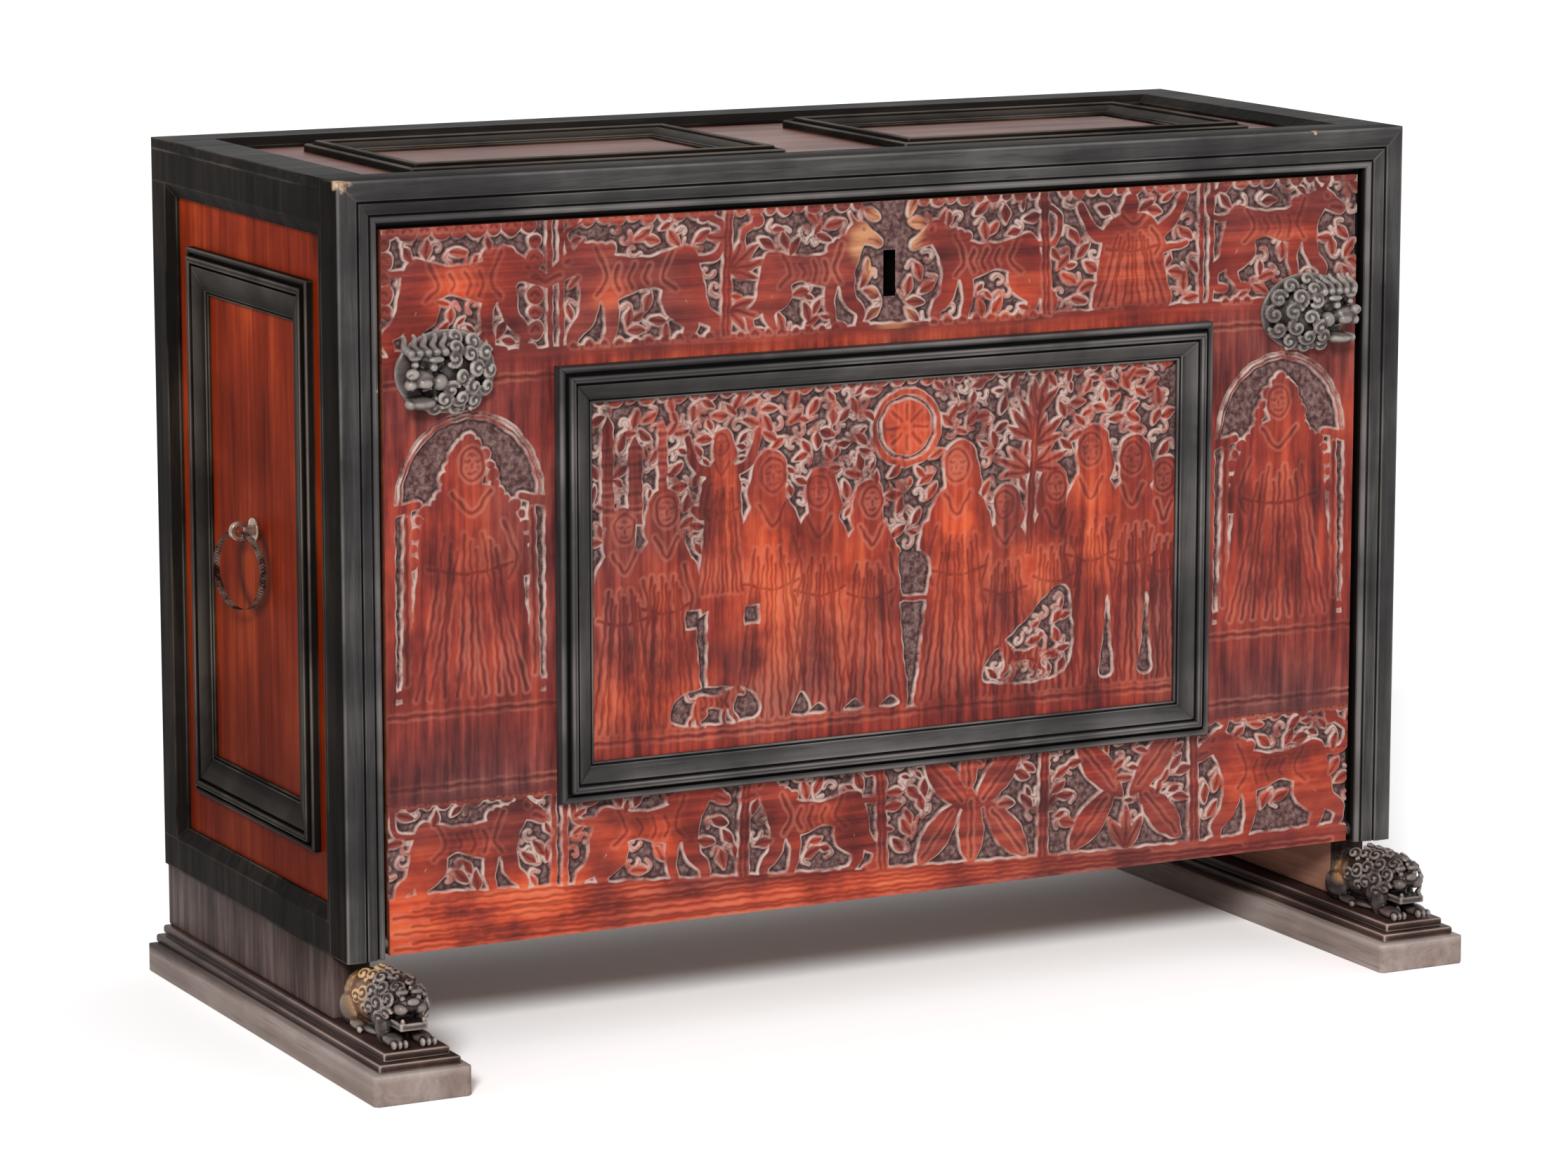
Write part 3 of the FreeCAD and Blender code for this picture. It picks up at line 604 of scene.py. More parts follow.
def black_finishes(name, shades, worn, gloss, **look):
    """One ebonised finish for each way the grain can run."""
    return [wood_finish(name + "_" + grain.lower(), grain, shades, worn, gloss, wear=0.8, relief=0.25,
                        radius=0.0022, **look) for grain in "XYZ"]


def moulding_length(bm, section, start, end, inward, rise, mitre_start=1, mitre_end=1):
    """One length of moulding between two outer corners, its ends mitred or square.
    A section gives width, height and a painted light value: above nothing an arris is paled as wear and a
    painted highlight, below it a quirk is darkened with painted shade."""
    start, end, inward, rise = Vector(start), Vector(end), Vector(inward), Vector(rise)
    along = (end - start).normalized()
    length = (end - start).length
    crest = bm.verts.layers.float.get("crest") or bm.verts.layers.float.new("crest")
    corners = []
    for u, v, rubbed in section:
        corner = start + (inward + along * mitre_start) * (u / 1000) + rise * (v / 1000)
        corners.append(bm.verts.new(corner))
        corners[-1][crest] = rubbed
    pushed = bmesh.ops.extrude_face_region(bm, geom=[bm.faces.new(corners)])["geom"]
    for vert in parts_of(pushed, bmesh.types.BMVert):
        width = (vert.co - start).dot(inward)
        vert.co += along * (length - width * (mitre_start + mitre_end))
    bmesh.ops.recalc_face_normals(bm, faces=bm.faces)


chipped = ((-0.438, -0.137, 0.641, 0.012), (-0.408, -0.133, 0.492, 0.006), (0.36, -0.137, 0.641, 0.005))
# Two copies of one black: the front copy is paler, a painted sheen, and the side copy darker, a painted
# shade.
lit_black_shades = ((26, 25, 25), (56, 54, 54), (90, 88, 87))
lit_black = black_finishes("lit_black", lit_black_shades, (142, 130, 122), (0.28, 0.44), fine=1.6,
                             shine=0.07, chips=chipped, crests=((13, 12, 12), (130, 125, 123)))
shaded_black_shades = ((10, 9, 8), (24, 20, 18), (44, 38, 33))
shaded_black = black_finishes("shaded_black", shaded_black_shades, (120, 106, 94), (0.3, 0.46), fine=1.3,
                            shine=0.008, chips=chipped[:1], crests=((10, 9, 8), (118, 108, 100)))
# The third values paint highlights on the arrises and shade in the quirks; the deep -0.9 at the inner lip
# paints the shadow line above the fall.
front_section = [(0, 0, 0), (0, 29.8, 0), (0.8, 31.2, 0.5), (2.4, 31.8, 0.15), (13.4, 32, 0.1),
                 (14.6, 31.4, 0.4), (14.9, 29.2, -0.25), (16.2, 29, -0.25), (16.5, 30.8, 0.15),
                 (23.6, 29.4, 0.1), (24.6, 28.6, 0.3), (24.9, 26.8, -0.3), (25.9, 26.7, -0.3),
                 (26.2, 28.2, 0.2), (28.2, 29.4, 0.5), (30.4, 28.4, 0.4), (31.2, 26.4, 0.1),
                 (31.4, 17, -0.9), (35, 17, -0.9), (35, 0, 0)]
left, right, foot_z, top_z, back_y = -0.44, 0.44, 0.083, 0.64, -0.107
left_stile = ((left, back_y, foot_z), (left, back_y, top_z), (1, 0, 0), (0, 1), 2)
top_rail = ((left, back_y, top_z), (right, back_y, top_z), (0, 0, -1), (1, 1), 0)
right_stile = ((right, back_y, top_z), (right, back_y, foot_z), (-1, 0, 0), (1, 0), 2)
forward = (0, -1, 0)
lengths = {"left_stile": left_stile, "top_rail": top_rail, "right_stile": right_stile}
for name, (start, end, inward, mitres, grain) in lengths.items():
    bm = bmesh.new()
    moulding_length(bm, front_section, start, end, inward, forward, *mitres)
    # Faces that look forward take the lit copy, the rest the shaded copy: painted shade on the sides.
    for f in bm.faces:
        f.material_index = 0 if f.normal.y < -0.1 else 1
    blacks = [lit_black[grain], shaded_black[grain]]
    set_in(name + "_moulded", bm, "carcass", blacks, [name])

# Side frames and top frame: flat black borders with a sloping inner edge, glued over the carcass boards.
# Their shape is the solids' own, and they only take the darker copy of the black finish, a painted shade.
paint_nodes(shaded_black[2], "left_side_frame", "right_side_frame")
paint_nodes(shaded_black[0], "top_frame")

# Raised panel mouldings on the sides and the top, in ebonised wood, cut to length, mitred and pinned.
# Their section has an outer bead, a hollow, a crown and a slope to a thin lip. They take the darker copy of
# the black finish, a painted shade.


def mitred_lengths(name, section, corners, rise, body, nodes, finishes):
    """A frame of four mitred lengths round a rectangle, each with the grain along it."""
    joint_gap = 0.00012
    rise = Vector(rise)
    corners = [Vector(c) for c in corners]
    centre = sum(corners, Vector()) / 4
    for i in range(4):
        start, end = corners[i], corners[(i + 1) % 4]
        along = (end - start).normalized()
        across = centre - start
        inward = (across - along * across.dot(along) - rise * across.dot(rise)).normalized()
        bm = bmesh.new()
        trim = along * joint_gap
        moulding_length(bm, section, start + trim, end - trim, inward, rise)
        grain = max(range(3), key=lambda axis: abs(along[axis]))
        stands_for = nodes if i == 0 else ()
        set_in(name + "_" + "abcd"[i], bm, body, [finishes[grain]], stands_for)


def panel_section(width):
    """The outline of a panel moulding, from its outer edge inwards, with painted highlights on its arrises
    and painted shade in its quirks.
    """
    inner = width - 2.6
    return [(0, 0, 0), (0, 4.4, 0), (0.5, 5.7, 0.6), (2, 6.3, 0.2), (3.6, 6, 0), (3.8, 3.6, -0.5),
            (5.8, 3.6, -0.5), (6, 7.6, 0), (6.8, 8.7, 0.6), (8.4, 9, 0.1), (10.4, 8.7, 0.5), (11.2, 7.4, 0),
            (11.4, 4.8, -0.5), (12.8, 4.8, -0.5), (13, 6.8, 0.3), (inner - 1, 3.6, 0.1), (inner, 3, 0.5),
            (inner + 0.2, 1.4, -0.4), (inner + 1.2, 1.4, -0.4), (inner + 1.4, 2.2, 0.2), (width, 2, 0.2),
            (width, 0, 0)]


side_bar_width = 33
for side, turn in (("left", -1), ("right", 1)):
    low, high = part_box(side + "_panel_moulding")
    face = turn * side_face
    corners = [(face, low.y, low.z), (face, high.y, low.z), (face, high.y, high.z), (face, low.y, high.z)]
    mitred_lengths(side + "_panel_bar", panel_section(side_bar_width), corners, (turn, 0, 0), "carcass",
                   [side + "_panel_moulding"], shaded_black)
top_bar_width = 28
top_strip = 0.05
low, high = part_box("top_panel_mouldings")
for side, start_x, end_x in (("left", low.x, -top_strip), ("right", top_strip, high.x)):
    corners = [(start_x, low.y, low.z), (end_x, low.y, low.z), (end_x, high.y, low.z),
               (start_x, high.y, low.z)]
    mitred_lengths(side + "_top_bar", panel_section(top_bar_width), corners, (0, 0, 1), "carcass",
                   ["top_panel_mouldings"], shaded_black)

# The fall's carving: flat-carved cedar in the traditional manner, figures left standing on a sunk ground.
# Beasts, trees and foliage fill the friezes; robed figures stand in two niches and in the middle scene.
# It is drawn here as distances in millimetres: to the edge of the raised parts and to the cut lines.
fall_half = 404
scene_half = 258
fall_foot, foot_frieze_top, top_frieze_foot, fall_top = 84, 192, 510, 604


def on_curve(before, first, second, after, t):
    """A point between two points, on a smooth curve that also passes through their neighbours."""
    square = 2 * before - 5 * first + 4 * second - after
    cube = 3 * first - before - 3 * second + after
    return 0.5 * (2 * first + (second - before) * t + square * t ** 2 + cube * t ** 3)


def smooth_loop(points, steps=7):
    """A closed curve through a few points."""
    loop = np.array(points, dtype=float)
    before, after, later = np.roll(loop, 1, 0), np.roll(loop, -1, 0), np.roll(loop, -2, 0)
    run = [on_curve(before, loop, after, later, t) for t in np.linspace(0, 1, steps, endpoint=False)]
    return np.stack(run, 1).reshape(-1, 2)


def smooth_line(points, steps=7):
    """An open curve through a few points."""
    inner = [np.array(point, dtype=float) for point in points]
    ends = [2 * inner[0] - inner[1]] + inner + [2 * inner[-1] - inner[-2]]
    run = []
    for four in zip(ends, ends[1:], ends[2:], ends[3:]):
        run += [on_curve(*four, t) for t in np.linspace(0, 1, steps, endpoint=False)]
    return np.array(run + [inner[-1]])


def arc(x, z, wide, tall, turns):
    """Points round a middle, at some angles."""
    return [(x + wide * math.cos(turn), z + tall * math.sin(turn)) for turn in turns]


class Carving:
    """Distances over a field of points: to the raised figures and to the cut lines, with tones of wear."""

    far = 40.0
    margin = 6
    tiny = 1e-9

    def __init__(self, x, z):
        self.x = x
        self.z = z
        self.figure = np.full(x.shape, self.far)
        self.line = np.full(x.shape, self.far)
        self.glow = np.zeros(x.shape)
        self.bare = np.zeros(x.shape)

    def near(self, points, margin):
        """The points of the field within a margin of a drawing's box."""
        low, high = np.min(points, 0) - margin, np.max(points, 0) + margin
        return np.nonzero((self.x > low[0]) & (self.x < high[0]) & (self.z > low[1]) & (self.z < high[1]))

    def reach(self, spot, start, end):
        """For the points of a spot, how far along and how far from the straight run between two points."""
        x, z = self.x[spot] - start[0], self.z[spot] - start[1]
        run = np.array(end) - np.array(start)
        t = np.clip((x * run[0] + z * run[1]) / max(run @ run, self.tiny), 0, 1)
        return t, np.hypot(x - t * run[0], z - t * run[1])

    def along(self, points, thick, thin):
        """Where a stroke passes, and how far each point there is from its tapering edge."""
        points = np.array(points, dtype=float)
        spot = self.near(points, max(thick, thin) + self.margin)
        best = np.full(len(spot[0]), self.far)
        count = len(points) - 1
        for i in range(count):
            t, off = self.reach(spot, points[i], points[i + 1])
            best = np.minimum(best, off - (thick + (thin - thick) * (i + t) / count))
        return spot, best

    def inside(self, outline):
        """Where an outline lies, and how far each point there is from it, inside below zero."""
        outline = np.array(outline, dtype=float)
        spot = self.near(outline, self.margin)
        x, z = self.x[spot], self.z[spot]
        best = np.full(x.shape, self.far)
        odd = np.zeros(x.shape, bool)
        for start, end in zip(outline, np.roll(outline, -1, 0)):
            best = np.minimum(best, self.reach(spot, start, end)[1])
            slope = (end[0] - start[0]) / ((end[1] - start[1]) or self.tiny)
            level_with = (start[1] > z) != (end[1] > z)
            odd ^= level_with & (x < start[0] + (z - start[1]) * slope)
        return spot, np.where(odd, -best, best)

    def leave(self, spot, distance):
        """Leave the wood standing."""
        self.figure[spot] = np.minimum(self.figure[spot], distance)

    def stroke(self, points, thick, thin=None):
        """A raised stroke that may taper."""
        self.leave(*self.along(points, thick, thick if thin is None else thin))

    def dot(self, x, z, radius):
        """A raised round."""
        self.stroke([(x, z), (x + 0.01, z)], radius)

    def shape(self, points):
        """A raised form with a smooth outline."""
        self.leave(*self.inside(smooth_loop(points)))

    def block(self, points):
        """A raised form with straight sides."""
        self.leave(*self.inside(points))

    def hollow(self, points, round_off=True):
        """Sink the ground within an outline."""
        spot, distance = self.inside(smooth_loop(points) if round_off else points)
        self.figure[spot] = np.maximum(self.figure[spot], -distance)

    def cut(self, points, width=0.45):
        """A thin line cut into the raised parts."""
        spot, distance = self.along(smooth_line(points) if len(points) > 2 else points, width, width)
        self.line[spot] = np.minimum(self.line[spot], distance)

    def warm(self, x, z, wide, tall, amount):
        """Orange where the stain is thin; below nothing, maroon where it is thick."""
        away = ((self.x - x) / wide) ** 2 + ((self.z - z) / tall) ** 2
        tint = amount * np.exp(-away)
        if amount > 0:
            self.glow = np.maximum(self.glow, tint)
        else:
            self.glow = self.glow + tint * (1 - np.clip(self.glow, 0, 1))

    def wear(self, x, z, wide, tall):
        """Rub a spot down to bare wood."""
        away = ((self.x - x) / wide) ** 2 + ((self.z - z) / tall) ** 2
        self.bare = np.maximum(self.bare, np.exp(-away ** 2))


def leaf(art, x, z, angle, length, width):
    """A pointed leaf with a cut midrib."""
    turn = math.radians(angle)
    along = np.array([math.cos(turn), math.sin(turn)])
    across = np.array([-math.sin(turn), math.cos(turn)])
    foot = np.array([x, z])
    outline = [(0, 0), (0.3, 0.42), (0.62, 0.4), (1, 0), (0.62, -0.4), (0.3, -0.42)]
    art.shape([foot + along * length * u + across * width * v for u, v in outline])
    art.cut([foot + along * length * 0.1, foot + along * length * 0.8], 0.35)


def spray(art, x, z, angle, fan, count, length, width):
    """A fan of leaves from one foot."""
    for i in range(count):
        turn = angle + fan * (i / max(count - 1, 1) - 0.5)
        leaf(art, x, z, turn, length * (1 - 0.18 * abs(i - (count - 1) / 2)), width)


def scroll(art, x, z, size, hand, turn=0.0):
    """A ribbon that curls up at its end."""
    points = []
    for t in np.linspace(0, 1, 15):
        angle = math.radians(turn) + hand * (0.4 + 4.6 * t)
        reach = size * (1 - 0.78 * t)
        points += arc(x, z, reach, reach, [angle])
    art.stroke(points, size * 0.16, size * 0.1)


def beast(art, x, z, size, hand, head=0.34, tail=0.3, horns=False):
    """A striding animal: arched neck, scalloped mane, bent legs, tufted tail and cut muscle lines."""
    def at(u, v):
        return (x + hand * size * u, z + size * v)
    trunk_outline = ((-0.47, 0.1), (-0.38, 0.24), (-0.1, 0.18), (0.14, 0.2), (0.34, 0.3), (0.45, 0.15),
                     (0.37, -0.07), (0.16, -0.1), (-0.1, -0.03), (-0.28, -0.1), (-0.45, -0.05))
    art.shape([at(*point) for point in trunk_outline])
    art.stroke([at(0.34, 0.16), at(0.46, head)], size * 0.13, size * 0.09)
    art.stroke([at(0.47, head), at(0.65, head - 0.1)], size * 0.085, size * 0.045)
    art.stroke([at(0.45, head + 0.04), at(0.38, head + 0.16)], size * 0.035, size * 0.012)
    for i in range(4):
        lift = 0.5 * max(head - 0.3, -0.1) * (1 - i / 3)
        art.dot(*at(0.37 - 0.06 * i + 0.02 * head, 0.3 - 0.02 * i + lift), size * 0.045)
    if horns:
        horn = [at(0.47, head + 0.05), at(0.52, head + 0.2), at(0.38, head + 0.28)]
        art.stroke(smooth_line(horn), size * 0.028, size * 0.01)
    legs = (([(0.33, 0.04), (0.37, -0.2), (0.47, -0.32), (0.46, -0.43)], 0.085),
            ([(0.22, 0.0), (0.18, -0.22), (0.23, -0.43)], 0.07),
            ([(-0.35, 0.06), (-0.27, -0.14), (-0.4, -0.28), (-0.34, -0.43)], 0.12),
            ([(-0.4, 0.02), (-0.47, -0.2), (-0.58, -0.3), (-0.55, -0.43)], 0.09))
    for joints, thick in legs:
        art.stroke(smooth_line([at(*joint) for joint in joints]), size * thick, size * 0.03)
        toe = joints[-1]
        art.stroke([at(*toe), at(toe[0] + 0.08, toe[1] - 0.01)], size * 0.035)
    tail_tip = at(-0.5, tail + 0.1)
    art.stroke(smooth_line([at(-0.44, 0.14), at(-0.6, 0.16), at(-0.64, tail), tail_tip]), size * 0.028)
    art.dot(*tail_tip, size * 0.06)
    shoulder = [(0.3, 0.26), (0.22, 0.06), (0.29, -0.06)]
    haunch = [(-0.26, 0.2), (-0.19, 0.04), (-0.29, -0.06)]
    ribs = ([(-0.1, 0.12), (-0.06, 0.05), (-0.08, 0)], [(0.02, 0.13), (0.06, 0.04), (0.03, -0.03)],
            [(0.13, 0.13), (0.16, 0.04), (0.13, -0.04)])
    mouth = [(0.56, head - 0.07), (0.6, head - 0.08), (0.65, head - 0.1)]
    for run in (shoulder, haunch, *ribs, mouth):
        art.cut([at(*point) for point in run], 0.4)
    art.cut([at(0.5, head + 0.02), at(0.515, head + 0.01)], 0.55)


def trunk(art, x, foot, top, thick, lean=0.0):
    """A tree's stem with bark lines."""
    middle = (foot + top) / 2
    art.stroke(smooth_line([(x, foot), (x + lean * 0.4, middle), (x + lean, top)]), thick, thick * 0.75)
    for shift in (-0.4 * thick, 0.35 * thick):
        bark = [(x + shift, foot + 4), (x + lean * 0.4 + shift, middle), (x + lean + shift, top - 3)]
        art.cut(bark, 0.35)


def robed_figure(art, x, foot, tall, wide, hand=1, arm=0.35):
    """A standing figure in a hooded gown with cut folds and a plain face, one forearm held out."""
    def at(u, v):
        return (x + hand * wide * u, foot + tall * v)
    gown = ((-0.5, 0), (0, -0.012), (0.5, 0), (0.45, 0.28), (0.4, 0.52), (0.36, 0.7), (0.2, 0.81),
            (0, 0.83), (-0.2, 0.81), (-0.38, 0.7), (-0.42, 0.5), (-0.47, 0.26))
    art.shape([at(*point) for point in gown])
    head = tall * 0.062
    art.stroke([at(0, 0.82), at(0.01, 0.9)], head * 0.75, head)
    art.stroke([at(-0.06, 0.84), at(-0.02, 0.93)], head * 1.25, head * 1.1)
    art.stroke([at(0.3, 0.66), at(0.42, 0.5), at(0.42 + arm, 0.53)], tall * 0.05, tall * 0.026)
    for i in range(9):
        u = -0.36 + 0.09 * i
        bend = 0.03 * math.sin(2.3 * i)
        art.cut([at(u * 0.55, 0.64 - 0.03 * (i % 3)), at(u * 0.85 + bend, 0.32), at(u * 1.2, 0.03)], 0.36)
    art.cut([at(-0.33, 0.52), at(0, 0.49), at(0.33, 0.52)], 0.4)
    art.cut([at(-0.14, 0.8), at(0.02, 0.72), at(0.16, 0.8)], 0.4)
    art.cut([at(0.26, 0.68), at(0.36, 0.54), at(0.3, 0.46)], 0.4)
    least_with_face = 120
    if tall > least_with_face:
        face_x, face_z = at(0.02, 0.905)
        round_face = np.linspace(0, 2 * math.pi, 13)
        art.cut(arc(face_x, face_z, head * 0.76, head * 0.98, round_face), 0.1)
        face = [[(eye - 0.16, 0.2), (eye, 0.12), (eye + 0.16, 0.2)] for eye in (-0.36, 0.36)]
        face += [[(0, 0.02), (-0.04, -0.12), (0, -0.24)], [(-0.24, -0.5), (0, -0.57), (0.24, -0.5)]]
        for run in face:
            art.cut([(face_x + head * u, face_z + head * v) for u, v in run], -0.15)


def post(art, x, foot, top, wide):
    """A pair of upright strips that parts two fields."""
    for shift in (-0.5, 0.5):
        art.stroke([(x + wide * shift, foot), (x + wide * shift, top)], wide * 0.26)


def clouds(art, start, end, size, count):
    """A row of scallops along an edge."""
    for i in range(count):
        t = (i + 0.5) / count
        x = start[0] + (end[0] - start[0]) * t
        z = start[1] + (end[1] - start[1]) * t
        puff = size * (1.0 if i % 2 else 0.78)
        art.dot(x, z, puff)
        art.cut([(x - puff * 0.4, z), (x, z + puff * 0.35), (x + puff * 0.4, z)], 0.35)


def foliage(art, low, high, pace, curl_every=4):
    """Stems with leaves, and small curls, that fill the ground between the figures where there is room."""
    count = 0
    for row, z in enumerate(np.arange(low[1] + pace / 2, high[1], pace * 0.8)):
        for x in np.arange(low[0] + pace * (0.75 if row % 2 else 0.25), high[0], pace):
            count += 1
            spot_x = x + 0.2 * pace * math.sin(2.7 * count + row)
            spot_z = z + 0.2 * pace * math.cos(1.9 * count)
            room = art.figure[np.argmin((art.x - spot_x) ** 2 + (art.z - spot_z) ** 2)]
            if room < 0.2 * pace:
                continue
            turn = 137.5 * count
            if count % curl_every == 0:
                scroll(art, spot_x, spot_z, pace * 0.5, 1 if count % 2 else -1, turn)
                continue
            slant = math.radians(turn)
            size = min(pace * 1.3, 3.4 * room)
            foot = (spot_x - 0.5 * size * math.cos(slant), spot_z - 0.5 * size * math.sin(slant))
            leaf(art, *foot, turn, size, size * 0.56)
            bend = 0.9 if count % 2 else -0.9
            stem = []
            for t in (0, 1, 2):
                stem += arc(*foot, -0.3 * pace * t, -0.3 * pace * t, [slant + t * bend])
            art.stroke(smooth_line(stem), 1.0, 0.7)


def warm_spots(art, spots):
    """Tint a set of spots, each a middle, two reaches and an amount."""
    for spot in spots:
        art.warm(*spot)


def cloud_rows(art, z, size, rows):
    """Rows of scallops at one height, each from a start to an end with a count."""
    for start, end, count in rows:
        clouds(art, (start, z), (end, z), size, count)


def leaves(art, length, width, feet):
    """Leaves of one size, each with its foot and its angle."""
    for x, z, angle in feet:
        leaf(art, x, z, angle, length, width)


def raised_arms(art, thick, thin, arms):
    """A figure's arms, each lifted from its shoulder."""
    for points in arms:
        art.stroke(smooth_line(points), thick, thin)


def top_frieze(art):
    """Six fields, five with a beast and one with a robed figure, worn bare round the keyhole."""
    foot, top, half = top_frieze_foot, fall_top, fall_half
    art.stroke([(-half, 511), (half, 511)], 3.2)
    for x in (-270, 270):
        post(art, x, foot, top, 9)
    clouds(art, (-half, 602), (-284, 602), 8, 9)
    clouds(art, (-402, 600), (-402, 540), 7, 5)
    clouds(art, (-286, 596), (-286, 520), 7, 6)
    beast(art, -342, 558, 100, 1, head=0.12, tail=0.36)
    beast(art, -206, 555, 108, -1, head=0.16, tail=0.34, horns=True)
    trunk(art, -135, foot, top, 4.6, 3)
    spray(art, -132, 560, 25, 80, 4, 34, 9)
    spray(art, -132, 532, -15, 70, 3, 26, 8)
    beast(art, -66, 552, 86, 1, head=0.36, tail=0.4)
    beast(art, 82, 552, 94, -1, head=0.3, tail=0.36)
    trunk(art, 132, foot, top, 4.6, -3)
    robed_figure(art, 205, 514, 86, 66, 1, 0.3)
    raised_arms(art, 6, 3.5, ([(190, 566), (172, 572), (160, 592)], [(222, 566), (240, 578), (250, 596)]))
    beast(art, 330, 564, 92, 1, head=0.26, tail=0.3, horns=True)
    cloud_rows(art, top, 6, ((-262, -142, 10), (-128, -22, 9), (22, 126, 9), (140, 262, 10),
                             (282, half, 10)))
    cloud_rows(art, 513, 4.5, ((-262, -142, 10), (-128, -40, 8), (30, 126, 8), (282, 312, 3)))
    keyhole_margin = 14
    foliage(art, (-half, 514), (-keyhole_margin, top), 12)
    foliage(art, (keyhole_margin, 514), (half, top), 12)
    warm_spots(art, ((-345, 556, 26, 17, 1), (-228, 548, 16, 12, 0.6), (90, 528, 34, 14, 0.9),
                     (205, 540, 26, 22, 0.6), (340, 566, 26, 12, 0.4), (-60, 560, 60, 40, -0.4),
                     (380, 590, 60, 26, -0.5), (-390, 590, 40, 30, -0.5), (-270, 520, 60, 20, -0.5)))
    worn_spots = ((-4, 587, 22, 13), (-22, 574, 13, 14), (-14, 556, 7, 18), (2, 520, 15, 11),
                  (16, 582, 11, 18))
    for spot in worn_spots:
        art.wear(*spot)


def bottom_frieze(art):
    """Beasts, stems and paddle leaves above a lower edge that wear has planed bare towards the left."""
    top, half = foot_frieze_top, fall_half
    art.stroke([(-half, 191), (half, 191)], 1.8)
    planed_edge = [(-410, 78), (410, 78), (408, 97), (240, 98), (60, 103), (-110, 112), (-270, 121),
                   (-408, 123)]
    art.shape(planed_edge)
    for i in range(9):
        z = 87 + 3.9 * i
        start, end = -400 + 14 * (i % 3), 390 - 82 * i
        sway = 1.8 * math.sin(1.7 * i)
        halfway = (end - 190) / 2
        grain = [(start, z), (-300, z + sway), (-190, z - sway), (halfway, z + 0.8), (end, z - 1)]
        art.cut(grain, 0.5)
    post(art, -270, 118, top, 9)
    beast(art, -342, 156, 92, 1, head=0.28, tail=0.36)
    beast(art, -198, 152, 96, 1, head=0.3, tail=0.36)
    beast(art, -62, 146, 90, -1, head=0.36, tail=0.3)
    beast(art, 336, 142, 106, -1, head=0.3, tail=0.3)
    for x, foot, lean in ((-122, 108, 4), (-5, 100, -3), (132, 96, 2), (266, 94, -2)):
        trunk(art, x, foot, top, 5, lean)
    leaves(art, 60, 24, ((24, 104, 52), (118, 102, 128), (30, 186, -48), (112, 186, -132), (70, 100, 90)))
    leaf(art, 68, 190, -90, 36, 16)
    leaves(art, 62, 26, ((156, 102, 50), (254, 102, 130), (162, 186, -50), (248, 186, -130)))
    spray(art, 205, 98, 90, 60, 3, 36, 11)
    cloud_rows(art, top, 6, ((-half, -280, 10), (-260, -128, 11), (-114, -12, 8), (274, half, 11)))
    foliage(art, (-half, 118), (half, 190), 12)
    warm_spots(art, ((-330, 104, 130, 26, 1.6), (-60, 94, 190, 14, 1.0), (-350, 152, 32, 14, 0.6),
                     (-200, 152, 46, 22, 1), (-50, 140, 20, 16, 0.6), (336, 142, 46, 22, 1)))


def niche(art, middle, hand):
    """A veiled and robed figure in a sunk arch between two pillars, in a plain board."""
    board = ((-90, 186), (90, 186), (90, 514), (-90, 514))
    art.block([(middle + x, z) for x, z in board])
    arch_half, arch_foot, spring, crown = 58, 266, 408, 64
    turns = np.linspace(0, np.pi, 25)
    arch = arc(middle, spring, arch_half, crown, turns)
    jambs = (middle + arch_half, arch_foot), (middle - arch_half, arch_foot)
    art.hollow([jambs[0], *arch, jambs[1]], round_off=False)
    art.stroke(arc(middle, spring, arch_half - 4, crown - 4, turns), 1.2)
    veil = ((-45, 366), (-40, 396), (-22, 412), (-16, 432), (0, 452), (16, 432), (22, 412), (40, 396),
            (45, 366))
    for i, (x, z) in enumerate(smooth_line(veil, 3)):
        art.dot(middle + x, z, 5 - 1.4 * (i % 2))
    for edge in (-1, 1):
        art.stroke([(middle + edge * 50, 268), (middle + edge * 48, 404)], 4.5, 3)
        art.stroke([(middle + edge * 56, 272), (middle + edge * 42, 272)], 3.5)
        art.stroke([(middle + edge * 58, 404), (middle + edge * 40, 408)], 4, 3)
        art.cut([(middle + edge * 50, 280), (middle + edge * 48.5, 398)], 0.45)
    robed_figure(art, middle, 262, 190, 100, hand, 0.0)
    for z in (494, 256, 203):
        art.cut([(middle - 66, z), (middle + 66, z)], 0.5)
    warm_spots(art, ((middle + 4, 372, 18, 46, 0.25), (middle, 186, 90, 60, -1.1),
                     (middle - 20, 480, 70, 34, -0.7)))


niche_middle = 338


def left_niche(art):
    """The niche on the left."""
    niche(art, -niche_middle, 1)


def right_niche(art):
    """The niche on the right."""
    niche(art, niche_middle, -1)


def towers(art):
    """Three pointed towers with courses of stone."""
    for x, foot, top, wide in ((-230, 380, 462, 10), (-208, 380, 446, 12), (-186, 400, 456, 8)):
        half = wide / 2
        eaves = top - 10
        art.block([(x - half, foot), (x + half, foot), (x + half, eaves), (x, top), (x - half, eaves)])
        for z in np.arange(foot + 12, foot + 60, 11):
            art.cut([(x - half, z), (x + half, z)], 0.6)


def branching_tree(art):
    """A leaning stem with fans of leaves at its top."""
    trunk(art, 118, 330, 440, 4, 6)
    feet = ((122, 420, 130), (124, 430, 100), (124, 440, 70), (122, 415, 40), (121, 398, 20),
            (119, 396, 160))
    for x, z, angle in feet:
        spray(art, x, z, angle, 50, 3, 32, 9)


def great_disc(art, x, z):
    """A disc with eight cut rays inside a ring."""
    turns = np.linspace(0, 2 * np.pi, 25)
    art.stroke(arc(x, z, 27, 27, turns), 2.2)
    art.dot(x, z, 21)
    for turn in turns[:-1:3]:
        art.cut(arc(x, z, 6, 6, [turn]) + arc(x, z, 17, 17, [turn]), 0.5)


